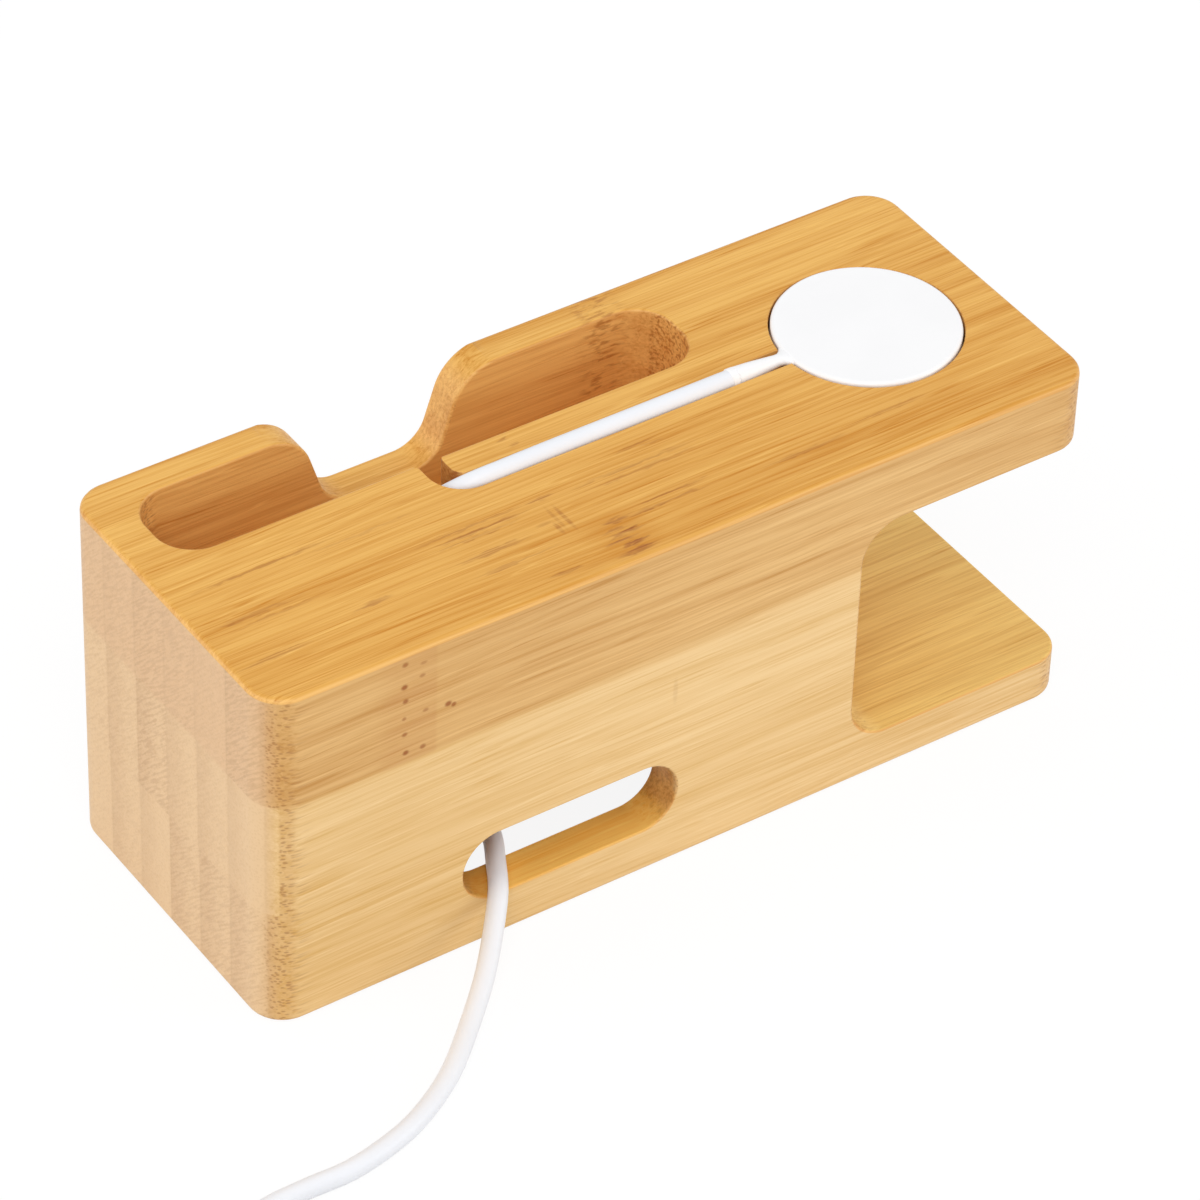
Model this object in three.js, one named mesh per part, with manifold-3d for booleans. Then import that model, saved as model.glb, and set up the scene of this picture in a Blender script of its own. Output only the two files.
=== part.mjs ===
// Charging stand for a phone and a watch: a glued bamboo block with a round charging puck let into its arm.
// Millimetres, +Z up. The origin is the middle of the block's underside, +X runs to the arm and +Y to the
// side that the phone faces.
import * as THREE from "three";
import { mergeVertices } from "three/addons/utils/BufferGeometryUtils.js";
import Module from "manifold-3d";

const wasm = await Module();
wasm.setup();

// Block
const LENGTH = 140;
const WIDTH = 54;
const HEIGHT = 60;
const CORNER_RADIUS = 5.5;

// Plies, from the rear face: a thin one, equal ones up to the slot, one under the slot and a thick front one.
// The one under the slot keeps a web of wood behind the opening in the slot's floor.
const REAR_PLY = 2.2;
const FRONT_PLY = 10.8;
const EQUAL_PLIES = 4;
const PLY_WEB = 0.8;

// Gap under the arm, open at the right end
const GAP_DEPTH = 40;
const GAP_FILLET = 6.5;
const ARM_THICKNESS = 12.3;
const SHELF_THICKNESS = 7.6;

// Phone slot
const SLOT_WIDTH = 14.6;
const SLOT_DEPTH = 20;
const SLOT_CORNER = 6;
const SLOT_END_WALL = 6.3;
const SLOT_FRONT_WALL = 5.6;
const SLOT_TO_GAP = 5.3;

// Opening in the slot's floor
const PASS_LENGTH = 22;
const PASS_MARGIN = 2;

// Dip in the wall in front of the slot
const DIP_DEPTH = 14.7;
const DIP_FLOOR = 10.2;
const DIP_FLANK_ANGLE = THREE.MathUtils.degToRad(72);
const DIP_LOWER_RADIUS = 5.5;
const DIP_UPPER_RADIUS = 8;
const DIP_OFFSET = 1.45;

// Rear cable hole and the hollow in the underside behind it
const HOLE_LENGTH = 36.5;
const HOLE_HEIGHT = 11.8;
const HOLE_SILL = 7.9;
const HOLLOW_HEIGHT = 26;
const HOLLOW_SIDE_WALL = 6.2;
const HOLLOW_LEFT_WALL = 21.5;
const HOLLOW_TO_GAP = 20.5;
const HOLLOW_CORNER = 5;

// Cable and its groove
const CABLE_DIAMETER = 3;
const CABLE_PROUD = 1.15;
const GROOVE_CLEARANCE = 0.35;
const GROOVE_TO_SLOT = 4.95;
const TURN_RADIUS = 3.8;
const TURN_OFFSET = 3.35;
const DIVE_LENGTH = 1;

// Charging puck
const PUCK_DIAMETER = 28.2;
const PUCK_THICKNESS = 7.6;
const PUCK_PROUD = 0.4;
const PUCK_EDGE = 0.5;
const PUCK_OFF_AXIS = 0.45;
const POCKET_CLEARANCE = 0.3;
const POCKET_TO_END = 7.2;
const COVER_THICKNESS = 1.4;
const SHELL_WALL = 1.2;
const SHELL_FLOOR = 1;
const BOARD_THICKNESS = 0.8;
const FERRITE_THICKNESS = 0.8;
const INNER_CLEARANCE = 0.4;
const MAGNET_DIAMETER = 11;
const WINDING_GAP = 0.8;
const WINDING_HEIGHT = 2;

// Sleeve where the cable leaves the puck
const SLEEVE_LENGTH = 8.6;
const SLEEVE_THIN_DIAMETER = 1.8;
const SLEEVE_THICK_DIAMETER = 3.2;
const RING_LENGTH = 0.9;
const RING_DIAMETER = 3.3;
const JOINT_GAP = 0.3;
const CABLE_JOINT_ABOVE_HOLLOW = 4;

// Coil of the cable's spare length, and its ties
const COIL_FROM_LEFT_END = -37;
const COIL_FROM_REAR_FACE = -58.5;
const COIL_INNER_RADIUS = 9.3;
const COIL_TURNS_A_LAYER = 3.5;
const COIL_REVERSE_TURN = 0.5;
const COIL_TURN_GAP = 0.55;
const COIL_STEPS_A_TURN = 24;
const COIL_SIDES = 6;
const TIE_THICKNESS = 0.6;
const TIE_WIDTH = 6;
const TIE_CLEARANCE = 0.3;

// Plug on the cable's far end
const PLUG_SLEEVE_LENGTH = 7;
const PLUG_SLEEVE_THIN = 3.8;
const PLUG_SLEEVE_THICK = 5.4;
const PLUG_BODY_LENGTH = 20;
const PLUG_BODY_WIDTH = 14.4;
const PLUG_BODY_THICKNESS = 7.8;
const PLUG_BODY_CORNER = 2.4;
const PLUG_SHELL_LENGTH = 12;
const PLUG_SHELL_WIDTH = 12;
const PLUG_SHELL_THICKNESS = 4.5;
const PLUG_SHELL_WALL = 0.35;
const TONGUE_LENGTH = 10.6;
const TONGUE_THICKNESS = 1.5;
const TONGUE_CLEARANCE = 0.3;
const CONTACT_COUNT = 4;
const CONTACT_WIDTH = 1.1;
const CONTACT_LENGTH = 8;
const CONTACT_THICKNESS = 0.3;
const CONTACT_INSET = 1;

// Fineness of round shapes, and how far a cutter runs past the face that it opens
const CORNER_STEPS = 8;
const ROUND_STEPS = 48;
const SMALL_ROUND_STEPS = 16;
const CABLE_SIDES = 8;
const CABLE_STEP = 3.2;
const PAST = 1;

// Places that follow from the sizes above
const LEFT = -LENGTH / 2;
const RIGHT = LENGTH / 2;
const REAR = -WIDTH / 2;
const FRONT = WIDTH / 2;
const GAP_X = RIGHT - GAP_DEPTH;
const ARM_Z = HEIGHT - ARM_THICKNESS;
const SLOT_LEFT = LEFT + SLOT_END_WALL;
const SLOT_RIGHT = GAP_X - SLOT_TO_GAP;
const SLOT_X = (SLOT_LEFT + SLOT_RIGHT) / 2;
const SLOT_FRONT = FRONT - SLOT_FRONT_WALL;
const SLOT_REAR = SLOT_FRONT - SLOT_WIDTH;
const SLOT_Y = (SLOT_FRONT + SLOT_REAR) / 2;
const SLOT_Z = HEIGHT - SLOT_DEPTH;
const DIP_X = SLOT_X - DIP_OFFSET;
const CABLE_RADIUS = CABLE_DIAMETER / 2;
const GROOVE_HALF = CABLE_RADIUS + GROOVE_CLEARANCE;
const AXIS_Y = SLOT_REAR - GROOVE_TO_SLOT - GROOVE_HALF;
const CABLE_Z = HEIGHT + CABLE_PROUD - CABLE_RADIUS;
const GROOVE_Z = CABLE_Z - GROOVE_HALF;
const TURN_X = SLOT_X - TURN_OFFSET;
const POCKET_RADIUS = PUCK_DIAMETER / 2 + POCKET_CLEARANCE;
const PUCK_X = RIGHT - POCKET_TO_END - POCKET_RADIUS;
const PUCK_Y = AXIS_Y - PUCK_OFF_AXIS;
const PUCK_TOP = HEIGHT + PUCK_PROUD;
const PUCK_BOTTOM = PUCK_TOP - PUCK_THICKNESS;
const SLEEVE_X = PUCK_X - PUCK_DIAMETER / 2 - JOINT_GAP;
const RING_X = SLEEVE_X - SLEEVE_LENGTH;
const CABLE_START_X = RING_X - RING_LENGTH - JOINT_GAP;
const PASS_REAR = SLOT_REAR + PASS_MARGIN;
const PASS_FRONT = SLOT_FRONT - PASS_MARGIN;
const DROP_Y = PASS_REAR + CABLE_RADIUS + JOINT_GAP + GROOVE_CLEARANCE;
const DROP_Z = HOLLOW_HEIGHT + CABLE_JOINT_ABOVE_HOLLOW;
const COIL_X = LEFT + COIL_FROM_LEFT_END;
const COIL_Y = REAR + COIL_FROM_REAR_FACE;
const COIL_PITCH = CABLE_DIAMETER + COIL_TURN_GAP;
const COIL_OUTER_RADIUS = COIL_INNER_RADIUS + COIL_PITCH * (COIL_TURNS_A_LAYER + COIL_REVERSE_TURN / 2);
const COIL_Z = TIE_THICKNESS + TIE_CLEARANCE + CABLE_RADIUS;
const PLUG_Z = PLUG_BODY_THICKNESS / 2;

const paint = (color, roughness, metalness = 0) =>
  new THREE.MeshStandardMaterial({ color, roughness, metalness });
const BAMBOO = [paint(0xd9a96c, 0.5), paint(0xd3a065, 0.5), paint(0xdeb27a, 0.5)];
const WHITE = paint(0xf4f4f6, 0.3);
const CABLE_WHITE = paint(0xf0f0f4, 0.45);
const BOARD_GREEN = paint(0x2f6b3c, 0.6);
const FERRITE_GREY = paint(0x3a3a3c, 0.7);
const COPPER = paint(0xb8703a, 0.35, 1);
const STEEL = paint(0xc4c6ca, 0.3, 1);
const GOLD = paint(0xd2a84a, 0.3, 1);
const TIE_BLACK = paint(0x2a2a2c, 0.9);

// Points of an arc, both ends included
function arc(x, y, radius, from, to, steps = CORNER_STEPS) {
  return Array.from({ length: steps + 1 }, (_, i) => {
    const angle = from + ((to - from) * i) / steps;
    return new THREE.Vector2(x + radius * Math.cos(angle), y + radius * Math.sin(angle));
  });
}

function roundedRectangle(left, low, right, high, radius) {
  const quarter = Math.PI / 2;
  return [
    ...arc(right - radius, low + radius, radius, -quarter, 0),
    ...arc(right - radius, high - radius, radius, 0, quarter),
    ...arc(left + radius, high - radius, radius, quarter, 2 * quarter),
    ...arc(left + radius, low + radius, radius, 2 * quarter, 3 * quarter),
  ];
}

function oblong(left, low, right, high) {
  const radius = (high - low) / 2;
  const quarter = Math.PI / 2;
  return [
    ...arc(right - radius, low + radius, radius, -quarter, quarter, 2 * CORNER_STEPS),
    ...arc(left + radius, low + radius, radius, quarter, 3 * quarter, 2 * CORNER_STEPS),
  ];
}

// Prisms of an outline: upright, along Y (outline in x and z) and along X (outline in y and z)
function upright(points, low, high) {
  const options = { depth: high - low, bevelEnabled: false };
  return new THREE.ExtrudeGeometry(new THREE.Shape(points), options).translate(0, 0, low);
}

function alongY(points, from, to) {
  const turn = new THREE.Matrix4().makeBasis(
    new THREE.Vector3(1, 0, 0),
    new THREE.Vector3(0, 0, 1),
    new THREE.Vector3(0, -1, 0),
  );
  return upright(points, 0, to - from).applyMatrix4(turn).translate(0, to, 0);
}

function alongX(shape, from, to) {
  const turn = new THREE.Matrix4().makeBasis(
    new THREE.Vector3(0, 1, 0),
    new THREE.Vector3(0, 0, 1),
    new THREE.Vector3(1, 0, 0),
  );
  const options = { depth: to - from, bevelEnabled: false };
  return new THREE.ExtrudeGeometry(shape, options).applyMatrix4(turn).translate(from, 0, 0);
}

function block(x0, x1, y0, y1, z0, z1) {
  const box = new THREE.BoxGeometry(x1 - x0, y1 - y0, z1 - z0);
  return box.translate((x0 + x1) / 2, (y0 + y1) / 2, (z0 + z1) / 2);
}

// A profile of [radius, height] pairs turned about the Z axis
function turned(profile, steps = ROUND_STEPS) {
  const points = profile.map(([radius, height]) => new THREE.Vector2(radius, height));
  return new THREE.LatheGeometry(points, steps).rotateX(Math.PI / 2);
}

// The same about the X axis, with heights along X
function turnedAlongX(profile, steps = SMALL_ROUND_STEPS) {
  return turned(profile, steps).rotateY(Math.PI / 2);
}

// A closed geometry as a solid that can be joined and cut
function solid(geometry) {
  const flat = geometry.index ? geometry.toNonIndexed() : geometry;
  const bare = new THREE.BufferGeometry().setAttribute("position", flat.getAttribute("position"));
  const merged = mergeVertices(bare);
  const corners = merged.index.array;
  const kept = [];
  for (let i = 0; i < corners.length; i += 3) {
    const [a, b, c] = corners.slice(i, i + 3);
    if (a !== b && b !== c && a !== c) kept.push(a, b, c);
  }
  return new wasm.Manifold(
    new wasm.Mesh({
      numProp: 3,
      vertProperties: merged.attributes.position.array,
      triVerts: new Uint32Array(kept),
    }),
  );
}

function geometryOf(cut) {
  const made = cut.getMesh();
  const geometry = new THREE.BufferGeometry();
  geometry.setAttribute("position", new THREE.BufferAttribute(made.vertProperties, 3));
  geometry.setIndex(new THREE.BufferAttribute(made.triVerts, 1));
  geometry.computeVertexNormals();
  return geometry;
}

function piece(name, geometry, material) {
  const mesh = new THREE.Mesh(geometry, material);
  mesh.name = name;
  return mesh;
}

// Outline of the gap under the arm, in x and z
function gapOutline() {
  const quarter = Math.PI / 2;
  const x = GAP_X + GAP_FILLET;
  return [
    new THREE.Vector2(RIGHT + PAST, SHELF_THICKNESS),
    new THREE.Vector2(RIGHT + PAST, ARM_Z),
    ...arc(x, ARM_Z - GAP_FILLET, GAP_FILLET, quarter, 2 * quarter),
    ...arc(x, SHELF_THICKNESS + GAP_FILLET, GAP_FILLET, 2 * quarter, 3 * quarter),
  ];
}

// Outline of the dip, in x and z: a flat floor, hollow fillets, steep flanks and rounded shoulders
function dipOutline() {
  const floor = HEIGHT - DIP_DEPTH;
  const quarter = Math.PI / 2;
  const lowTurn = DIP_FLANK_ANGLE - quarter;
  const half = DIP_FLOOR / 2;
  const lower = arc(half, floor + DIP_LOWER_RADIUS, DIP_LOWER_RADIUS, -quarter, lowTurn);
  const foot = lower[lower.length - 1];
  const shoulder = HEIGHT - DIP_UPPER_RADIUS * (1 - Math.cos(DIP_FLANK_ANGLE));
  const run = (shoulder - foot.y) / Math.tan(DIP_FLANK_ANGLE);
  const crest = foot.x + run + DIP_UPPER_RADIUS * Math.sin(DIP_FLANK_ANGLE);
  const flank = quarter + DIP_FLANK_ANGLE;
  const upper = arc(crest, HEIGHT - DIP_UPPER_RADIUS, DIP_UPPER_RADIUS, flank, quarter);
  const side = [...lower, ...upper, new THREE.Vector2(crest, HEIGHT + PAST)];
  const mirrored = side.map((p) => new THREE.Vector2(-p.x, p.y)).reverse();
  return [...side, ...mirrored].map((p) => new THREE.Vector2(p.x + DIP_X, p.y));
}

// Plan of the groove's turn into the slot, with the stretch where the cable starts to sink
function turnOutline() {
  const quarter = Math.PI / 2;
  const x = TURN_X + TURN_RADIUS;
  const y = AXIS_Y + TURN_RADIUS;
  const outer = arc(x, y, TURN_RADIUS + GROOVE_HALF, 3 * quarter, 2 * quarter);
  const inner = arc(x, y, TURN_RADIUS - GROOVE_HALF, 2 * quarter, 3 * quarter);
  const sides = [
    new THREE.Vector2(x + DIVE_LENGTH, AXIS_Y - GROOVE_HALF),
    ...outer,
    new THREE.Vector2(TURN_X - GROOVE_HALF, SLOT_Y),
    new THREE.Vector2(TURN_X + GROOVE_HALF, SLOT_Y),
    ...inner,
    new THREE.Vector2(x + DIVE_LENGTH, AXIS_Y + GROOVE_HALF),
  ];
  return sides.reverse();
}

// The block with all its cuts, before it is parted into plies
function cutBlock() {
  const above = HEIGHT + PAST;
  const plan = roundedRectangle(LEFT, REAR, RIGHT, FRONT, CORNER_RADIUS);
  const slot = roundedRectangle(SLOT_LEFT, SLOT_REAR, SLOT_RIGHT, SLOT_FRONT, SLOT_CORNER);
  const pass = oblong(SLOT_X - PASS_LENGTH / 2, PASS_REAR, SLOT_X + PASS_LENGTH / 2, PASS_FRONT);
  const hole = oblong(
    SLOT_X - HOLE_LENGTH / 2,
    HOLE_SILL,
    SLOT_X + HOLE_LENGTH / 2,
    HOLE_SILL + HOLE_HEIGHT,
  );
  const hollow = roundedRectangle(
    LEFT + HOLLOW_LEFT_WALL,
    REAR + HOLLOW_SIDE_WALL,
    GAP_X - HOLLOW_TO_GAP,
    FRONT - HOLLOW_SIDE_WALL,
    HOLLOW_CORNER,
  );
  const pocket = arc(PUCK_X, PUCK_Y, POCKET_RADIUS, 0, 2 * Math.PI, ROUND_STEPS).slice(1);
  const grooveEnd = TURN_X + TURN_RADIUS;
  const cuts = [
    alongY(gapOutline(), REAR - PAST, FRONT + PAST),
    upright(slot, SLOT_Z, above),
    upright(pass, HOLLOW_HEIGHT - PAST, SLOT_Z + PAST),
    alongY(dipOutline(), SLOT_Y, FRONT + PAST),
    alongY(hole, REAR - PAST, REAR + HOLLOW_SIDE_WALL + PAST),
    upright(hollow, -PAST, HOLLOW_HEIGHT),
    upright(turnOutline(), SLOT_Z, above),
    block(grooveEnd, PUCK_X, AXIS_Y - GROOVE_HALF, AXIS_Y + GROOVE_HALF, GROOVE_Z, above),
    upright(pocket, PUCK_BOTTOM, above),
  ];
  return cuts.reduce((left, cut) => left.subtract(solid(cut)), solid(upright(plan, 0, HEIGHT)));
}

// The glued plies, parted by upright planes along the block
function plies() {
  const whole = cutBlock();
  const first = REAR + REAR_PLY;
  const last = PASS_REAR - PLY_WEB;
  const seams = [REAR];
  for (let i = 0; i <= EQUAL_PLIES; i++) seams.push(first + ((last - first) * i) / EQUAL_PLIES);
  seams.push(FRONT - FRONT_PLY, FRONT);
  const group = new THREE.Group();
  for (let i = 1; i < seams.length; i++) {
    const slab = block(LEFT - PAST, RIGHT + PAST, seams[i - 1], seams[i], -PAST, HEIGHT + PAST);
    const ply = geometryOf(whole.intersect(solid(slab)));
    group.add(piece(`bamboo_ply_${i}`, ply, BAMBOO[i % BAMBOO.length]));
  }
  return group;
}

// The puck, drawn with its underside at height 0 on the group's own axis
function puck() {
  const radius = PUCK_DIAMETER / 2;
  const rim = PUCK_THICKNESS - COVER_THICKNESS;
  const inside = radius - SHELL_WALL;
  const boardTop = SHELL_FLOOR + BOARD_THICKNESS;
  const ferriteTop = boardTop + FERRITE_THICKNESS;
  const magnetTop = rim - INNER_CLEARANCE;
  const magnet = MAGNET_DIAMETER / 2;
  const shell = [
    [0, 0],
    [radius - PUCK_EDGE, 0],
    [radius, PUCK_EDGE],
    [radius, rim],
    [inside, rim],
    [inside, SHELL_FLOOR],
    [0, SHELL_FLOOR],
  ];
  const cover = [
    [0, rim],
    [radius, rim],
    [radius, PUCK_THICKNESS - PUCK_EDGE],
    [radius - 0.3 * PUCK_EDGE, PUCK_THICKNESS - 0.3 * PUCK_EDGE],
    [radius - PUCK_EDGE, PUCK_THICKNESS],
    [0, PUCK_THICKNESS],
  ];
  const disc = (outer, low, high) => [[0, low], [outer, low], [outer, high], [0, high]];
  const ring = (innermost, outer, low, high) => [
    [innermost, low],
    [outer, low],
    [outer, high],
    [innermost, high],
    [innermost, low],
  ];
  const cell = inside - INNER_CLEARANCE;
  const winding = ring(magnet + WINDING_GAP, cell, ferriteTop, ferriteTop + WINDING_HEIGHT);
  const group = new THREE.Group();
  group.add(
    piece("puck_shell", turned(shell), WHITE),
    piece("puck_cover", turned(cover), WHITE),
    piece("puck_board", turned(disc(cell, SHELL_FLOOR, boardTop)), BOARD_GREEN),
    piece("puck_ferrite", turned(disc(cell, boardTop, ferriteTop)), FERRITE_GREY),
    piece("puck_winding", turned(winding), COPPER),
    piece("puck_magnet", turned(disc(magnet, ferriteTop, magnetTop)), STEEL),
  );
  group.position.set(PUCK_X, PUCK_Y, PUCK_BOTTOM);
  return group;
}

// The tapered sleeve on the puck's side and the ring that ends it
function sleeve() {
  const thin = SLEEVE_THIN_DIAMETER / 2;
  const thick = SLEEVE_THICK_DIAMETER / 2;
  const ring = RING_DIAMETER / 2;
  const taper = [[0, 0], [thick, 0], [thin, SLEEVE_LENGTH], [0, SLEEVE_LENGTH]];
  const band = [[0, -RING_LENGTH], [ring, -RING_LENGTH], [ring, 0], [0, 0]];
  const group = new THREE.Group();
  group.add(piece("puck_sleeve", turnedAlongX(taper), WHITE));
  group.add(piece("puck_sleeve_ring", turnedAlongX(band), WHITE));
  group.position.set(RING_X, AXIS_Y, CABLE_Z);
  return group;
}

// A round tube along hand-placed points
function cable(points) {
  const path = new THREE.CatmullRomCurve3(points.map((p) => new THREE.Vector3(...p)), false, "centripetal");
  const section = arc(0, 0, CABLE_RADIUS, 0, 2 * Math.PI, CABLE_SIDES).slice(1);
  const steps = Math.round(path.getLength() / CABLE_STEP);
  const options = { steps, extrudePath: path, bevelEnabled: false };
  return new THREE.ExtrudeGeometry(new THREE.Shape(section), options);
}

// Route in the groove, down through its turn into the slot and through the slot's floor
const groovePoints = [
  [CABLE_START_X, AXIS_Y, CABLE_Z],
  [CABLE_START_X - 9.5, AXIS_Y, CABLE_Z],
  [CABLE_START_X - 19, AXIS_Y, CABLE_Z],
  [CABLE_START_X - 28.5, AXIS_Y, CABLE_Z],
  [TURN_X + 11, AXIS_Y - 0.05, CABLE_Z],
  [TURN_X + 8, AXIS_Y - 0.1, CABLE_Z],
  [TURN_X + 5.8, AXIS_Y - 0.1, CABLE_Z],
  [TURN_X + 3.5, AXIS_Y + 0.2, CABLE_Z - 0.35],
  [TURN_X + 1.55, AXIS_Y + 1.05, CABLE_Z - 1.35],
  [TURN_X + 0.25, AXIS_Y + 2.3, CABLE_Z - 2.85],
  [TURN_X - 0.2, AXIS_Y + 3.75, CABLE_Z - 4.6],
  [TURN_X - 0.2, AXIS_Y + 4.8, CABLE_Z - 6.4],
  [TURN_X - 0.2, AXIS_Y + 5.15, CABLE_Z - 8.45],
  [TURN_X - 0.15, AXIS_Y + 5.15, CABLE_Z - 11.35],
  [TURN_X - 0.1, DROP_Y - 5.45, CABLE_Z - 13.4],
  [TURN_X - 0.05, DROP_Y - 4.4, CABLE_Z - 15.2],
  [TURN_X, DROP_Y - 2.9, CABLE_Z - 16.5],
  [TURN_X, DROP_Y - 1.4, CABLE_Z - 17.75],
  [TURN_X, DROP_Y - 0.35, CABLE_Z - 19.55],
  [TURN_X, DROP_Y, CABLE_Z - 21.6],
  [TURN_X, DROP_Y, DROP_Z + 4],
  [TURN_X, DROP_Y, DROP_Z],
];

// Route through the hollow, over the hole's sill and along the table to the coil
const SILL_Z = HOLE_SILL + CABLE_RADIUS + JOINT_GAP;
const freePoints = [
  [TURN_X, DROP_Y, DROP_Z - JOINT_GAP],
  [TURN_X, DROP_Y, DROP_Z - 4],
  [TURN_X - 0.1, DROP_Y - 0.9, DROP_Z - 9],
  [TURN_X - 0.3, DROP_Y - 4, SILL_Z + 6.6],
  [TURN_X - 0.8, REAR + 29, SILL_Z + 3.4],
  [TURN_X - 1.5, REAR + 22.5, SILL_Z + 1.3],
  [TURN_X - 2.7, REAR + 15, SILL_Z + 0.3],
  [TURN_X - 4.2, REAR + 9, SILL_Z],
  [TURN_X - 6.7, REAR + 4.2, SILL_Z],
  [TURN_X - 9.6, REAR - 0.9, SILL_Z - 0.3],
  [TURN_X - 12.3, REAR - 4.2, SILL_Z - 2.3],
  [TURN_X - 17.3, REAR - 9.6, SILL_Z - 5.4],
  [TURN_X - 23.8, REAR - 15.5, CABLE_RADIUS + 0.7],
  [TURN_X - 31.6, REAR - 22.1, CABLE_RADIUS + 0.05],
  [TURN_X - 39.8, REAR - 26.9, CABLE_RADIUS + 0.05],
  [TURN_X - 45.2, REAR - 28.8, CABLE_RADIUS + 0.05],
  [TURN_X - 52.6, REAR - 30.2, CABLE_RADIUS + 0.05],
  [TURN_X - 60.2, REAR - 30.1, CABLE_RADIUS + 0.1],
  [TURN_X - 67.5, REAR - 30.8, CABLE_RADIUS + 0.4],
  [COIL_X + CABLE_DIAMETER + 7, COIL_Y + COIL_OUTER_RADIUS + 1.6, COIL_Z - 0.2],
  [COIL_X + CABLE_DIAMETER + 3, COIL_Y + COIL_OUTER_RADIUS + 0.2, COIL_Z],
  [COIL_X + CABLE_DIAMETER + JOINT_GAP, COIL_Y + COIL_OUTER_RADIUS, COIL_Z],
];

// The coil's centreline: in along the lower layer, up in the half turn where it reverses, out along the
// upper layer, then a tail that sinks to the plug
function coilPoints() {
  const turns = 2 * COIL_TURNS_A_LAYER + COIL_REVERSE_TURN;
  const reversed = COIL_TURNS_A_LAYER + COIL_REVERSE_TURN;
  const count = turns * COIL_STEPS_A_TURN;
  const start = Math.PI / 2;
  const top = COIL_Z + COIL_PITCH;
  const points = [new THREE.Vector3(COIL_X + CABLE_DIAMETER, COIL_Y + COIL_OUTER_RADIUS, COIL_Z)];
  for (let i = 0; i <= count; i++) {
    const turn = (turns * i) / count;
    const radius = COIL_INNER_RADIUS + COIL_PITCH * Math.abs(turn - turns / 2);
    const climb = THREE.MathUtils.smoothstep(turn, COIL_TURNS_A_LAYER, reversed);
    const angle = start + 2 * Math.PI * turn;
    points.push(
      new THREE.Vector3(
        COIL_X + radius * Math.cos(angle),
        COIL_Y + radius * Math.sin(angle),
        COIL_Z + COIL_PITCH * climb,
      ),
    );
  }
  const edge = COIL_Y - COIL_OUTER_RADIUS;
  const tail = [
    [4, -0.15, top - 0.1],
    [8, -0.5, (top + PLUG_Z) / 2],
    [12, -0.8, PLUG_Z + 0.1],
    [15, -0.9, PLUG_Z],
    [15 + CABLE_DIAMETER, -0.9, PLUG_Z],
  ];
  tail.forEach(([along, out, z]) => points.push(new THREE.Vector3(COIL_X + along, edge + out, z)));
  return points;
}

// A tube with a ring of corners at each point of a mostly level line, closed at both ends
function ringTube(points, radius, sides) {
  const up = new THREE.Vector3(0, 0, 1);
  const corners = [];
  const faces = [];
  points.forEach((point, i) => {
    const before = points[Math.max(i - 1, 0)];
    const after = points[Math.min(i + 1, points.length - 1)];
    const along = after.clone().sub(before).normalize();
    const side = along.clone().cross(up).normalize();
    const over = side.clone().cross(along);
    for (let k = 0; k < sides; k++) {
      const angle = (2 * Math.PI * k) / sides;
      const corner = point.clone();
      corner.addScaledVector(side, radius * Math.cos(angle));
      corner.addScaledVector(over, radius * Math.sin(angle));
      corners.push(corner);
      if (i === 0) continue;
      const next = (k + 1) % sides;
      const a = (i - 1) * sides + k;
      const b = (i - 1) * sides + next;
      const c = i * sides + next;
      const d = i * sides + k;
      faces.push(a, c, b, a, d, c);
    }
  });
  const last = (points.length - 1) * sides;
  for (let k = 1; k < sides - 1; k++) {
    faces.push(0, k, k + 1, last, last + k + 1, last + k);
  }
  const geometry = new THREE.BufferGeometry().setFromPoints(corners).setIndex(faces);
  geometry.computeVertexNormals();
  return geometry;
}

// The least clear distance between the coil and itself, measured between points half a turn or more apart
function leastGap(points) {
  let least = Infinity;
  const apart = COIL_STEPS_A_TURN / 2;
  for (let i = 0; i < points.length; i++) {
    for (let k = i + apart; k < points.length; k++) {
      least = Math.min(least, points[i].distanceTo(points[k]));
    }
  }
  return least - CABLE_DIAMETER;
}

// Bands round the bundle of turns, on the left and right of the coil
function ties() {
  const clear = CABLE_RADIUS + TIE_CLEARANCE;
  const nearest = COIL_INNER_RADIUS - clear;
  const farthest = COIL_OUTER_RADIUS + clear;
  const low = TIE_THICKNESS;
  const high = COIL_Z + COIL_PITCH + clear;
  const group = new THREE.Group();
  [-1, 1].forEach((side, i) => {
    const ends = [COIL_X + side * nearest, COIL_X + side * farthest].sort((a, b) => a - b);
    const outside = roundedRectangle(
      ends[0] - TIE_THICKNESS,
      low - TIE_THICKNESS,
      ends[1] + TIE_THICKNESS,
      high + TIE_THICKNESS,
      CABLE_RADIUS,
    );
    const inside = roundedRectangle(ends[0], low, ends[1], high, CABLE_RADIUS - TIE_THICKNESS);
    const from = COIL_Y - TIE_WIDTH / 2;
    const cutter = solid(alongY(inside, from - PAST, from + TIE_WIDTH + PAST));
    const band = solid(alongY(outside, from, from + TIE_WIDTH)).subtract(cutter);
    group.add(piece(`coil_tie_${i + 1}`, geometryOf(band), TIE_BLACK));
  });
  return group;
}

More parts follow.
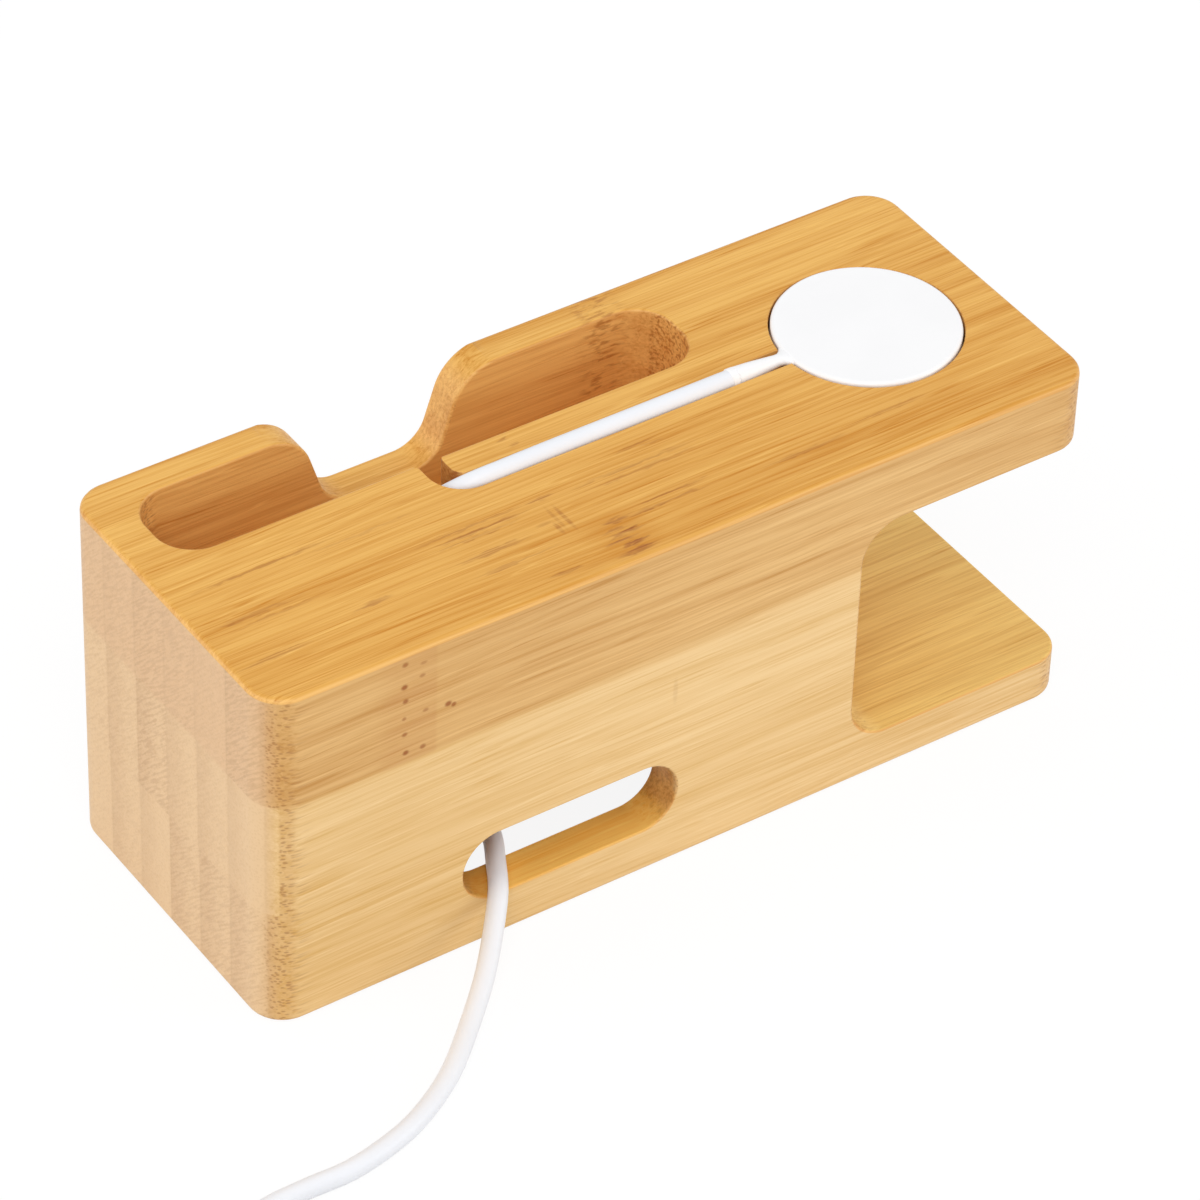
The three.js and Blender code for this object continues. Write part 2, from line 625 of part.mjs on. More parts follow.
// The plug, drawn along +X from the end of the coil's tail
function plug(tailEnd) {
  const bodyFrom = PLUG_SLEEVE_LENGTH;
  const bodyTo = bodyFrom + PLUG_BODY_LENGTH;
  const rectangle = (width, thickness, radius) =>
    new THREE.Shape(roundedRectangle(-width / 2, -thickness / 2, width / 2, thickness / 2, radius));
  const taper = [
    [0, 0],
    [PLUG_SLEEVE_THIN / 2, 0],
    [PLUG_SLEEVE_THICK / 2, PLUG_SLEEVE_LENGTH],
    [0, PLUG_SLEEVE_LENGTH],
  ];
  const body = rectangle(PLUG_BODY_WIDTH, PLUG_BODY_THICKNESS, PLUG_BODY_CORNER);
  const wall = 2 * PLUG_SHELL_WALL;
  const shellTo = bodyTo + PLUG_SHELL_LENGTH;
  const outside = rectangle(PLUG_SHELL_WIDTH, PLUG_SHELL_THICKNESS, wall);
  const inside = rectangle(PLUG_SHELL_WIDTH - wall, PLUG_SHELL_THICKNESS - wall, PLUG_SHELL_WALL);
  const bore = solid(alongX(inside, bodyTo - PAST, shellTo + PAST));
  const shell = solid(alongX(outside, bodyTo, shellTo)).subtract(bore);
  const tongueHalf = PLUG_SHELL_WIDTH / 2 - PLUG_SHELL_WALL - TONGUE_CLEARANCE;
  const tongueTop = PLUG_SHELL_THICKNESS / 2 - PLUG_SHELL_WALL - TONGUE_CLEARANCE;
  const tongueLow = tongueTop - TONGUE_THICKNESS;
  const tongueTo = bodyTo + TONGUE_LENGTH;
  const tongue = block(bodyTo, tongueTo, -tongueHalf, tongueHalf, tongueLow, tongueTop);
  const group = new THREE.Group();
  group.add(
    piece("plug_sleeve", turnedAlongX(taper), WHITE),
    piece("plug_body", alongX(body, bodyFrom, bodyTo), WHITE),
    piece("plug_shell", geometryOf(shell), STEEL),
    piece("plug_tongue", tongue, WHITE),
  );
  const pitch = (2 * tongueHalf) / CONTACT_COUNT;
  const contactTo = tongueTo - CONTACT_INSET;
  for (let i = 0; i < CONTACT_COUNT; i++) {
    const y = -tongueHalf + pitch * (i + 0.5);
    const half = CONTACT_WIDTH / 2;
    const from = contactTo - CONTACT_LENGTH;
    const strip = block(from, contactTo, y - half, y + half, tongueLow - CONTACT_THICKNESS, tongueLow);
    group.add(piece(`plug_contact_${i + 1}`, strip, GOLD));
  }
  group.position.copy(tailEnd).add(new THREE.Vector3(JOINT_GAP, 0, 0));
  return group;
}

const stand = new THREE.Group();
const wound = coilPoints();
stand.add(
  plies(),
  puck(),
  sleeve(),
  piece("cable_groove_run", cable(groovePoints), CABLE_WHITE),
  piece("cable_free_run", cable(freePoints), CABLE_WHITE),
  piece("cable_coil", ringTube(wound, CABLE_RADIUS, COIL_SIDES), CABLE_WHITE),
  ties(),
  plug(wound[wound.length - 1]),
);
console.log(`least gap between the coil's turns: ${leastGap(wound).toFixed(2)} mm`);

export default stand;
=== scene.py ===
"""Looks of a bamboo charging stand for a phone and a watch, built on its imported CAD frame.

Metres and +Z up, in the frame's own axes: +X runs to the arm with the puck, +Y to the side that
the phone faces.
"""

import math
from itertools import product

import bmesh
import bpy
from mathutils import Matrix, Vector


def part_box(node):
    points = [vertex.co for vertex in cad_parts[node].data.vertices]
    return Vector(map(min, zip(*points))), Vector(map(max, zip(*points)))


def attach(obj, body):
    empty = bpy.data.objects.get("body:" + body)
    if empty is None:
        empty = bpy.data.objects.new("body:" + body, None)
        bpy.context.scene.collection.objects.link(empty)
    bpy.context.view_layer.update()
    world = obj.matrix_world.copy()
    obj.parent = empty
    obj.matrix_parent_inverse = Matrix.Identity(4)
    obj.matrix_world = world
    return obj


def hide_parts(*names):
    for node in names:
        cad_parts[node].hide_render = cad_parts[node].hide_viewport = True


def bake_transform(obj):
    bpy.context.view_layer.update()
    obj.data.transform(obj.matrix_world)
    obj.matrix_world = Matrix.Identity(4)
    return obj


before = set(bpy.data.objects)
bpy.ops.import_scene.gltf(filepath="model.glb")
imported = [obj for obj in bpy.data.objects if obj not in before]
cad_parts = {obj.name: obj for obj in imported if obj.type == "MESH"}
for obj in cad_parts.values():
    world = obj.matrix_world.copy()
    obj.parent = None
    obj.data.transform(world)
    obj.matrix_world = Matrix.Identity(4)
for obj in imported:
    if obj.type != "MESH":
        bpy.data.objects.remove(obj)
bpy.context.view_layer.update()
MM = 0.001
QUARTER = math.pi / 2

# Camera of the photograph, its turns in degrees: sideways, up from straight down, and its roll
CAMERA_PLACE = (-0.3903, -0.5558, 0.5987)
CAMERA_TURNS = ((-35.29, "Z"), (50.02, "X"), (2.18, "Z"))
CAMERA_LENS = 183.06
CAMERA_SENSOR = 36.0

# Block, from the frame
PLIES = [f"bamboo_ply_{i}" for i in range(1, 8)]
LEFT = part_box("bamboo_ply_4")[0].x
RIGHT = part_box("bamboo_ply_4")[1].x
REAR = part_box("bamboo_ply_1")[0].y
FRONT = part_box("bamboo_ply_7")[1].y
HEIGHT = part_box("bamboo_ply_4")[1].z
SEAMS = [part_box(ply)[1].y for ply in PLIES[:-1]]

# Cuts in the block, as the CAD source has them
CORNER_RADIUS = 5.5 * MM
GAP_DEPTH = 40 * MM
GAP_FILLET = 6.5 * MM
ARM_THICKNESS = 12.3 * MM
SHELF_THICKNESS = 7.6 * MM
SLOT_WIDTH = 14.6 * MM
SLOT_DEPTH = 20 * MM
SLOT_CORNER = 6 * MM
SLOT_END_WALL = 6.3 * MM
SLOT_FRONT_WALL = 5.6 * MM
SLOT_TO_GAP = 5.3 * MM
PASS_LENGTH = 22 * MM
PASS_MARGIN = 2 * MM
DIP_DEPTH = 14.7 * MM
DIP_FLOOR = 10.2 * MM
DIP_FLANK_ANGLE = math.radians(72)
DIP_LOWER_RADIUS = 5.5 * MM
DIP_UPPER_RADIUS = 8 * MM
DIP_OFFSET = 1.45 * MM
HOLE_LENGTH = 36.5 * MM
HOLE_HEIGHT = 11.8 * MM
HOLE_SILL = 7.9 * MM
HOLLOW_HEIGHT = 26 * MM
HOLLOW_SIDE_WALL = 6.2 * MM
HOLLOW_LEFT_WALL = 21.5 * MM
HOLLOW_TO_GAP = 20.5 * MM
HOLLOW_CORNER = 5 * MM
GROOVE_CLEARANCE = 0.35 * MM
GROOVE_TO_SLOT = 4.95 * MM
TURN_RADIUS = 3.8 * MM
TURN_OFFSET = 3.35 * MM
DIVE_LENGTH = 1 * MM
POCKET_CLEARANCE = 0.3 * MM

# Sanded edges of the wood
EDGE = 0.9 * MM
CUT_EDGE = 0.5 * MM
GROOVE_EDGE = 0.15 * MM
NOTCH_CORNER = 1.1 * MM
POCKET_EDGE = 0.2 * MM
HOLE_EDGE = 0.35 * MM
EDGE_STEPS = 4
ARC_STEP = math.radians(5)
SHARP_ANGLE = math.radians(32)
CABLE_SHARP_ANGLE = math.radians(50)
PAST = 1 * MM

# Cable, coil and plug
CABLE_DIAMETER = 3 * MM
CABLE_RADIUS = CABLE_DIAMETER / 2
CABLE_PROUD = 1.15 * MM
CABLE_SIDES = 16
CABLE_STEP = 1.5 * MM
JOINT_GAP = 0.3 * MM
BEND_START = 12 * MM
DROP_ABOVE_HOLLOW = 4 * MM
COIL_FROM_LEFT_END = -37 * MM
COIL_FROM_REAR_FACE = -58.5 * MM
COIL_INNER_RADIUS = 9.3 * MM
COIL_TURNS_A_LAYER = 3.5
COIL_REVERSE_TURN = 0.5
COIL_TURN_GAP = 0.55 * MM
COIL_STEPS_A_TURN = 48
TIE_THICKNESS = 0.6 * MM
TIE_WIDTH = 6 * MM
TIE_CLEARANCE = 0.3 * MM
TIE_TAIL = 9 * MM
CONTACTS = [f"plug_contact_{i}" for i in range(1, 5)]

# Places that follow
GAP_X = RIGHT - GAP_DEPTH
ARM_Z = HEIGHT - ARM_THICKNESS
SLOT_LEFT = LEFT + SLOT_END_WALL
SLOT_RIGHT = GAP_X - SLOT_TO_GAP
SLOT_X = (SLOT_LEFT + SLOT_RIGHT) / 2
SLOT_FRONT = FRONT - SLOT_FRONT_WALL
SLOT_REAR = SLOT_FRONT - SLOT_WIDTH
SLOT_Y = (SLOT_FRONT + SLOT_REAR) / 2
SLOT_Z = HEIGHT - SLOT_DEPTH
PASS_REAR = SLOT_REAR + PASS_MARGIN
PASS_FRONT = SLOT_FRONT - PASS_MARGIN
DIP_X = SLOT_X - DIP_OFFSET
GROOVE_HALF = CABLE_RADIUS + GROOVE_CLEARANCE
AXIS_Y = SLOT_REAR - GROOVE_TO_SLOT - GROOVE_HALF
CABLE_Z = HEIGHT + CABLE_PROUD - CABLE_RADIUS
GROOVE_Z = CABLE_Z - GROOVE_HALF
TURN_X = SLOT_X - TURN_OFFSET
PUCK_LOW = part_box("puck_shell")[0]
PUCK_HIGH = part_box("puck_cover")[1]
PUCK_X = (PUCK_LOW.x + PUCK_HIGH.x) / 2
PUCK_Y = (PUCK_LOW.y + PUCK_HIGH.y) / 2
PUCK_RADIUS = (PUCK_HIGH.x - PUCK_LOW.x) / 2
POCKET_RADIUS = PUCK_RADIUS + POCKET_CLEARANCE
RING_LOW, RING_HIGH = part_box("puck_sleeve_ring")
SLEEVE_LOW, SLEEVE_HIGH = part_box("puck_sleeve")
CABLE_START_X = RING_LOW.x - JOINT_GAP
DROP_Y = PASS_REAR + CABLE_RADIUS + JOINT_GAP + GROOVE_CLEARANCE
DROP_Z = HOLLOW_HEIGHT + DROP_ABOVE_HOLLOW
SILL_Z = HOLE_SILL + CABLE_RADIUS + JOINT_GAP
COIL_X = LEFT + COIL_FROM_LEFT_END
COIL_Y = REAR + COIL_FROM_REAR_FACE
COIL_PITCH = CABLE_DIAMETER + COIL_TURN_GAP
COIL_TURNS = 2 * COIL_TURNS_A_LAYER + COIL_REVERSE_TURN
COIL_OUTER_RADIUS = COIL_INNER_RADIUS + COIL_PITCH * COIL_TURNS / 2
COIL_Z = TIE_THICKNESS + TIE_CLEARANCE + CABLE_RADIUS
COIL_START = (COIL_X + CABLE_DIAMETER, COIL_Y + COIL_OUTER_RADIUS, COIL_Z)
PLUG_LOW, PLUG_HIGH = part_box("plug_body")
PLUG_Y = (PLUG_LOW.y + PLUG_HIGH.y) / 2
PLUG_Z = (PLUG_LOW.z + PLUG_HIGH.z) / 2


# Camera
def add_camera():
    data = bpy.data.cameras.new("camera")
    data.lens = CAMERA_LENS
    data.sensor_width = CAMERA_SENSOR
    camera = link("camera", data)
    place = Matrix.Translation(CAMERA_PLACE)
    for angle, axis in CAMERA_TURNS:
        place @= Matrix.Rotation(math.radians(angle), 4, axis)
    camera.matrix_world = place
    bpy.context.scene.camera = camera


# Object and mesh helpers
def link(name, data):
    made = bpy.data.objects.new(name, data)
    bpy.context.scene.collection.objects.link(made)
    return made


def mesh_from(name, corners, faces):
    mesh = bpy.data.meshes.new(name)
    mesh.from_pydata([tuple(c) for c in corners], [], faces)
    build = bmesh.new()
    build.from_mesh(mesh)
    bmesh.ops.recalc_face_normals(build, faces=build.faces)
    build.to_mesh(mesh)
    build.free()
    return mesh


def arc(x, y, radius, start, end):
    """Points of an arc, both ends included."""
    steps = max(2, round(abs(end - start) / ARC_STEP))
    angles = [start + (end - start) * i / steps for i in range(steps + 1)]
    return [(x + radius * math.cos(a), y + radius * math.sin(a)) for a in angles]


def rounded_rectangle(left, low, right, high, radius):
    return [
        *arc(right - radius, low + radius, radius, -QUARTER, 0),
        *arc(right - radius, high - radius, radius, 0, QUARTER),
        *arc(left + radius, high - radius, radius, QUARTER, 2 * QUARTER),
        *arc(left + radius, low + radius, radius, 2 * QUARTER, 3 * QUARTER),
    ]


def oblong(left, low, right, high):
    radius = (high - low) / 2
    return [
        *arc(right - radius, low + radius, radius, -QUARTER, QUARTER),
        *arc(left + radius, low + radius, radius, QUARTER, 3 * QUARTER),
    ]


def grown(points, by):
    """An anticlockwise outline moved outwards by a distance, square to its sides."""
    out = []
    count = len(points)
    for i, (x, y) in enumerate(points):
        before = Vector(points[i - 1])
        after = Vector(points[(i + 1) % count])
        here = Vector((x, y))
        first = (here - before).normalized()
        second = (after - here).normalized()
        normal = Vector((first.y + second.y, -first.x - second.x)).normalized()
        stretch = max(0.5, normal.dot(Vector((first.y, -first.x))))
        out.append((x + normal.x * by / stretch, y + normal.y * by / stretch))
    return out


def rounding(edge, steps=EDGE_STEPS):
    """Pairs of (distance along the wall to the face, distance outwards) over a rounded edge."""
    angles = [QUARTER * i / steps for i in range(steps + 1)]
    return [(edge - edge * math.sin(a), edge - edge * math.cos(a)) for a in angles]


def cutter_levels(deep, face, edge):
    """(height, growth) pairs of a cutter that runs out through a face and rounds its edge."""
    way = 1 if face > deep else -1
    levels = [(deep, 0)]
    levels += [(face - way * back, out) for back, out in rounding(edge)]
    levels.append((face + way * PAST, edge))
    return levels


def through_levels(low, high, edge):
    """The same for a cutter that goes right through between two faces."""
    inner = cutter_levels((low + high) / 2, high, edge)[1:]
    outer = cutter_levels((low + high) / 2, low, edge)[1:]
    return outer[::-1] + inner


def skin(name, rings):
    """A closed body through rings that have the same number of points."""
    count = len(rings[0])
    faces = []
    for low in range(0, count * (len(rings) - 1), count):
        for i in range(count):
            k = (i + 1) % count
            faces.append((low + i, low + k, low + count + k, low + count + i))
    faces.append(tuple(range(count)))
    faces.append(tuple(range(count * (len(rings) - 1), count * len(rings))))
    return link(name, mesh_from(name, [point for ring in rings for point in ring], faces))


def along(axis, height, a, b):
    """A point at a height along an axis: an outline is in x and y, in x and z, or in y and z."""
    return {"x": (height, a, b), "y": (a, height, b), "z": (a, b, height)}[axis]


def loft(name, outline, levels, axis="z"):
    """A closed solid along an axis through grown copies of one outline."""
    rings = []
    for height, growth in levels:
        ring = grown(outline, growth) if growth else outline
        rings.append([along(axis, height, a, b) for a, b in ring])
    return skin(name, rings)


def boolean(target, tool, operation):
    """Cuts or joins the target's mesh with a tool object, which is then removed."""
    modifier = target.modifiers.new("cut", "BOOLEAN")
    modifier.operation = operation
    modifier.object = tool
    modifier.solver = "EXACT"
    graph = bpy.context.evaluated_depsgraph_get()
    made = bpy.data.meshes.new_from_object(target.evaluated_get(graph))
    target.modifiers.clear()
    target.data = made
    bpy.data.objects.remove(tool)


def box_object(name, low, high):
    corners = list(product(*zip(low, high)))
    faces = [(0, 1, 3, 2), (4, 6, 7, 5), (0, 4, 5, 1), (2, 3, 7, 6), (0, 2, 6, 4), (1, 5, 7, 3)]
    return link(name, mesh_from(name, corners, faces))


def smooth(made):
    """Smooth shading with crisp corners, and flat faces kept flat."""
    made.data.shade_smooth()
    made.data.set_sharp_from_angle(angle=SHARP_ANGLE)
    weighted = made.modifiers.new("flat faces stay flat", "WEIGHTED_NORMAL")
    weighted.keep_sharp = True
    weighted.weight = 100


def paint(made, material):
    made.data.materials.clear()
    made.data.materials.append(material)


def finish_piece(made, material, body, slot, *nodes):
    """Shades a piece, puts it on its body and hides the CAD nodes that it stands for."""
    smooth(made)
    paint(made, material)
    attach(made, body)
    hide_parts(*nodes)


def turned(name, profile, place, axis="z", steps=96):
    """A closed solid of revolution from (radius, height) pairs that start and end on the axis."""
    corners = []
    rings = []
    for radius, height in profile:
        ring = []
        for i in range(steps if radius > 1e-9 else 1):
            angle = 2 * math.pi * i / steps
            a, b = radius * math.cos(angle), radius * math.sin(angle)
            ring.append(len(corners))
            corners.append(Vector(along(axis, height, a, b)) + Vector(place))
        rings.append(ring)
    faces = []
    for low, high in zip(rings, rings[1:]):
        for i in range(steps):
            k = (i + 1) % steps
            face = [low[i % len(low)], low[k % len(low)], high[k % len(high)], high[i % len(high)]]
            faces.append(tuple(dict.fromkeys(face)))
    return link(name, mesh_from(name, corners, faces))


# Cord
def offsets(place, rows):
    """Points at distances from a place that are given in millimetres."""
    return [Vector(place) + Vector(row) * MM for row in rows]


def groove_points():
    """From the puck's sleeve along the groove, round its turn and down through the block."""
    straight = [(0, 0, 0), (-9.5, 0, 0), (-19, 0, 0), (-28.5, 0, 0)]
    turning = [
        (11, -0.05, 0),
        (8, -0.1, 0),
        (5.8, -0.1, 0),
        (3.5, 0.2, -0.35),
        (1.55, 1.05, -1.35),
        (0.25, 2.3, -2.85),
        (-0.2, 3.75, -4.6),
        (-0.2, 4.8, -6.4),
        (-0.2, 5.15, -8.45),
        (-0.15, 5.15, -11.35),
    ]
    sinking = [
        (-0.1, -5.45, -13.4),
        (-0.05, -4.4, -15.2),
        (0, -2.9, -16.5),
        (0, -1.4, -17.75),
        (0, -0.35, -19.55),
        (0, 0, -21.6),
    ]
    points = offsets((CABLE_START_X, AXIS_Y, CABLE_Z), straight)
    points += offsets((TURN_X, AXIS_Y, CABLE_Z), turning)
    points += offsets((TURN_X, DROP_Y, CABLE_Z), sinking)
    points += offsets((TURN_X, DROP_Y, DROP_Z), [(0, 0, 4), (0, 0, 0)])
    return points


def free_points():
    """Through the hollow, out at the rear hole and over the table to the coil."""
    inside = [(0, 0, -4), (-0.1, -0.9, -9)]
    hollow = [(-0.8, 29, 3.4), (-1.5, 22.5, 1.3), (-2.7, 15, 0.3), (-4.2, 9, 0), (-6.7, 4.2, 0)]
    outside = [(-9.6, -0.9, -0.3), (-12.3, -4.2, -2.3), (-17.3, -9.6, -5.4)]
    table = [
        (-23.8, -15.5, 0.7),
        (-31.6, -22.1, 0.05),
        (-39.8, -26.9, 0.05),
        (-45.2, -28.8, 0.05),
        (-52.6, -30.2, 0.05),
        (-60.2, -30.1, 0.1),
        (-67.5, -30.8, 0.4),
    ]
    entry = [(7, 1.6, -0.2), (3, 0.2, 0)]
    points = offsets((TURN_X, DROP_Y, DROP_Z), inside)
    points += offsets((TURN_X, DROP_Y, SILL_Z), [(-0.3, -4, 6.6)])
    points += offsets((TURN_X, REAR, SILL_Z), hollow + outside)
    points += offsets((TURN_X, REAR, CABLE_RADIUS), table)
    points += offsets(COIL_START, entry)
    return points


def coil_points():
    """Inwards in the lower layer, outwards in the upper one, and on to the plug."""
    count = round(COIL_TURNS * COIL_STEPS_A_TURN)
    points = [Vector(COIL_START)]
    for i in range(count + 1):
        turn = COIL_TURNS * i / count
        radius = COIL_INNER_RADIUS + COIL_PITCH * abs(turn - COIL_TURNS / 2)
        rise = min(1, max(0, (turn - COIL_TURNS_A_LAYER) / COIL_REVERSE_TURN))
        climb = rise * rise * (3 - 2 * rise)
        angle = QUARTER + 2 * math.pi * turn
        x = COIL_X + radius * math.cos(angle)
        y = COIL_Y + radius * math.sin(angle)
        points.append(Vector((x, y, COIL_Z + COIL_PITCH * climb)))
    top = COIL_Z + COIL_PITCH
    edge = COIL_Y - COIL_OUTER_RADIUS
    tail = [
        (4, -0.15, top - 0.1 * MM),
        (8, -0.5, (top + PLUG_Z) / 2),
        (12, -0.8, PLUG_Z + 0.1 * MM),
        (15, -0.9, PLUG_Z),
        (18.3, -0.9, PLUG_Z),
    ]
    points += [Vector((COIL_X + x * MM, edge + y * MM, z)) for x, y, z in tail]
    return points


def curve_point(p, knots, t):
    """A point of the centripetal curve between the middle two of four points."""
    def between(a, b, start, end):
        return a.lerp(b, (t - start) / (end - start))

    first = [between(p[i], p[i + 1], knots[i], knots[i + 1]) for i in range(3)]
    second = [between(first[i], first[i + 1], knots[i], knots[i + 2]) for i in range(2)]
    return between(second[0], second[1], knots[1], knots[2])


def smooth_line(points, step):
    """Points about one step apart on a smooth curve through the given points."""
    padded = [2 * points[0] - points[1], *points, 2 * points[-1] - points[-2]]
    line = []
    for i in range(1, len(padded) - 2):
        p = padded[i - 1 : i + 3]
        knots = [0]
        for a, b in zip(p, p[1:]):
            knots.append(knots[-1] + math.sqrt((b - a).length))
        count = max(1, round((p[2] - p[1]).length / step))
        for k in range(count):
            line.append(curve_point(p, knots, knots[1] + (knots[2] - knots[1]) * k / count))
    line.append(points[-1].copy())
    return line


def tube(name, line, radius, sides):
    """A round tube with a ring at each point, turned along the line without twist."""
    angles = [2 * math.pi * k / sides for k in range(sides)]
    rings = []
    across = None
    for i, point in enumerate(line):
        way = (line[min(i + 1, len(line) - 1)] - line[max(i - 1, 0)]).normalized()
        if across is None:
            across = way.cross(Vector((0, 0, 1))).normalized()
        across = (across - way * across.dot(way)).normalized()
        other = way.cross(across)
        circle = [math.cos(a) * across + math.sin(a) * other for a in angles]
        rings.append([point + radius * out for out in circle])
    made = skin(name, rings)
    made.data.shade_smooth()
    made.data.set_sharp_from_angle(angle=CABLE_SHARP_ANGLE)
    return made


def add_cord(material, pieces):
    line = smooth_line(groove_points() + free_points() + coil_points(), CABLE_STEP)
    cord = tube("cable", line, CABLE_RADIUS, CABLE_SIDES)
    paint(cord, material)
    start = (TURN_X + BEND_START, AXIS_Y, CABLE_Z)
    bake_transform(cord)
    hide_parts("cable_groove_run", "cable_free_run", "cable_coil")
    length = sum((b - a).length for a, b in zip(line, line[1:]))


# Bamboo block
def gap_outline():
    x = GAP_X + GAP_FILLET
    return [
        (RIGHT + 8 * PAST, SHELF_THICKNESS),
        (RIGHT + 8 * PAST, ARM_Z),
        *arc(x, ARM_Z - GAP_FILLET, GAP_FILLET, QUARTER, 2 * QUARTER),
        *arc(x, SHELF_THICKNESS + GAP_FILLET, GAP_FILLET, 2 * QUARTER, 3 * QUARTER),
    ]


def dip_outline():
    floor = HEIGHT - DIP_DEPTH
    half = DIP_FLOOR / 2
    foot_z = floor + DIP_LOWER_RADIUS
    lower = arc(half, foot_z, DIP_LOWER_RADIUS, -QUARTER, DIP_FLANK_ANGLE - QUARTER)
    foot = lower[-1]
    shoulder = HEIGHT - DIP_UPPER_RADIUS * (1 - math.cos(DIP_FLANK_ANGLE))
    run = (shoulder - foot[1]) / math.tan(DIP_FLANK_ANGLE)
    crest = foot[0] + run + DIP_UPPER_RADIUS * math.sin(DIP_FLANK_ANGLE)
    low = HEIGHT - DIP_UPPER_RADIUS
    upper = arc(crest, low, DIP_UPPER_RADIUS, QUARTER + DIP_FLANK_ANGLE, QUARTER)
    side = [*lower, *upper, (crest, HEIGHT + 3 * PAST)]
    mirrored = [(-x, z) for x, z in reversed(side)]
    return [(x + DIP_X, z) for x, z in side + mirrored]


def turn_outline():
    x = TURN_X + TURN_RADIUS
    y = AXIS_Y + TURN_RADIUS
    outer = arc(x, y, TURN_RADIUS + GROOVE_HALF, 3 * QUARTER, 2 * QUARTER)
    inner = arc(x, y, TURN_RADIUS - GROOVE_HALF, 2 * QUARTER, 3 * QUARTER)
    left, right = TURN_X - GROOVE_HALF, TURN_X + GROOVE_HALF
    low = SLOT_REAR - NOTCH_CORNER
    sides = [
        (x + DIVE_LENGTH, AXIS_Y - GROOVE_HALF),
        *outer,
        *arc(left - NOTCH_CORNER, low, NOTCH_CORNER, 0, QUARTER),
        (left - NOTCH_CORNER, SLOT_Y),
        (right + NOTCH_CORNER, SLOT_Y),
        *arc(right + NOTCH_CORNER, low, NOTCH_CORNER, QUARTER, 2 * QUARTER),
        *inner,
        (x + DIVE_LENGTH, AXIS_Y + GROOVE_HALF),
    ]
    return sides[::-1]


def block_outline():
    return rounded_rectangle(LEFT, REAR, RIGHT, FRONT, CORNER_RADIUS)


def block_levels(low, high, edge):
    lower = [(low + back, -out) for back, out in rounding(edge)]
    upper = [(high - back, -out) for back, out in rounding(edge)]
    return lower[::-1] + upper


def end_edge_cutter(name, z, way):
    """What a rounded edge takes off the arm's or shelf's free end. way points into the wood."""
    low, high = sorted((z - way * PAST, z + way * CUT_EDGE))
    cutter = box_object(
        name,
        (RIGHT - CORNER_RADIUS, REAR - PAST, low),
        (RIGHT + PAST, FRONT + PAST, high),
    )
    levels = [(z - way * 2 * PAST, -CUT_EDGE)]
    levels += [(z + way * back, -out) for back, out in rounding(CUT_EDGE)[::-1]]
    levels.append((z + way * (CUT_EDGE + PAST), 0))
    kept = loft(name + "_kept", block_outline(), levels)
    boolean(cutter, kept, "DIFFERENCE")
    return cutter


def cut_block():
    block = loft("block", block_outline(), block_levels(0, HEIGHT, EDGE))
    slot = rounded_rectangle(SLOT_LEFT, SLOT_REAR, SLOT_RIGHT, SLOT_FRONT, SLOT_CORNER)
    passage = oblong(SLOT_X - PASS_LENGTH / 2, PASS_REAR, SLOT_X + PASS_LENGTH / 2, PASS_FRONT)
    hole_top = HOLE_SILL + HOLE_HEIGHT
    hole = oblong(SLOT_X - HOLE_LENGTH / 2, HOLE_SILL, SLOT_X + HOLE_LENGTH / 2, hole_top)
    hollow = rounded_rectangle(
        LEFT + HOLLOW_LEFT_WALL,
        REAR + HOLLOW_SIDE_WALL,
        GAP_X - HOLLOW_TO_GAP,
        FRONT - HOLLOW_SIDE_WALL,
        HOLLOW_CORNER,
    )
    pocket = arc(PUCK_X, PUCK_Y, POCKET_RADIUS, 0, 2 * math.pi)[1:]
    half = GROOVE_HALF
    groove = [
        (TURN_X + TURN_RADIUS, AXIS_Y - half),
        (PUCK_X, AXIS_Y - half),
        (PUCK_X, AXIS_Y + half),
        (TURN_X + TURN_RADIUS, AXIS_Y + half),
    ]
    cuts = [
        loft("gap", gap_outline(), through_levels(REAR, FRONT, CUT_EDGE), "y"),
        end_edge_cutter("arm_edge", ARM_Z, 1),
        end_edge_cutter("shelf_edge", SHELF_THICKNESS, -1),
        loft("slot", slot, cutter_levels(SLOT_Z, HEIGHT, CUT_EDGE)),
        loft("passage", passage, [(HOLLOW_HEIGHT - PAST, 0), (SLOT_Z + PAST, 0)]),
        loft("dip", dip_outline(), through_levels(SLOT_FRONT, FRONT, CUT_EDGE), "y"),
        loft("hole", hole, cutter_levels(REAR + HOLLOW_SIDE_WALL + PAST, REAR, HOLE_EDGE), "y"),
        loft("hollow", hollow, cutter_levels(HOLLOW_HEIGHT, 0, CUT_EDGE)),
        loft("turn", turn_outline(), cutter_levels(SLOT_Z, HEIGHT, GROOVE_EDGE)),
        loft("groove", groove, cutter_levels(GROOVE_Z, HEIGHT, GROOVE_EDGE)),
        loft("pocket", pocket, cutter_levels(PUCK_LOW.z, HEIGHT, POCKET_EDGE)),
    ]
    for cut in cuts:
        boolean(block, cut, "DIFFERENCE")
    return block


def add_plies(material):
    whole = cut_block()
    seams = [REAR - PAST, *SEAMS, FRONT + PAST]
    for ply, low, high in zip(PLIES, seams, seams[1:]):
        piece = link(ply + "_wood", whole.data.copy())
        slab = box_object("slab", (LEFT - PAST, low, -PAST), (RIGHT + PAST, high, HEIGHT + PAST))
        boolean(piece, slab, "INTERSECT")
        finish_piece(piece, material, "stand", "bamboo", ply)
    bpy.data.objects.remove(whole)


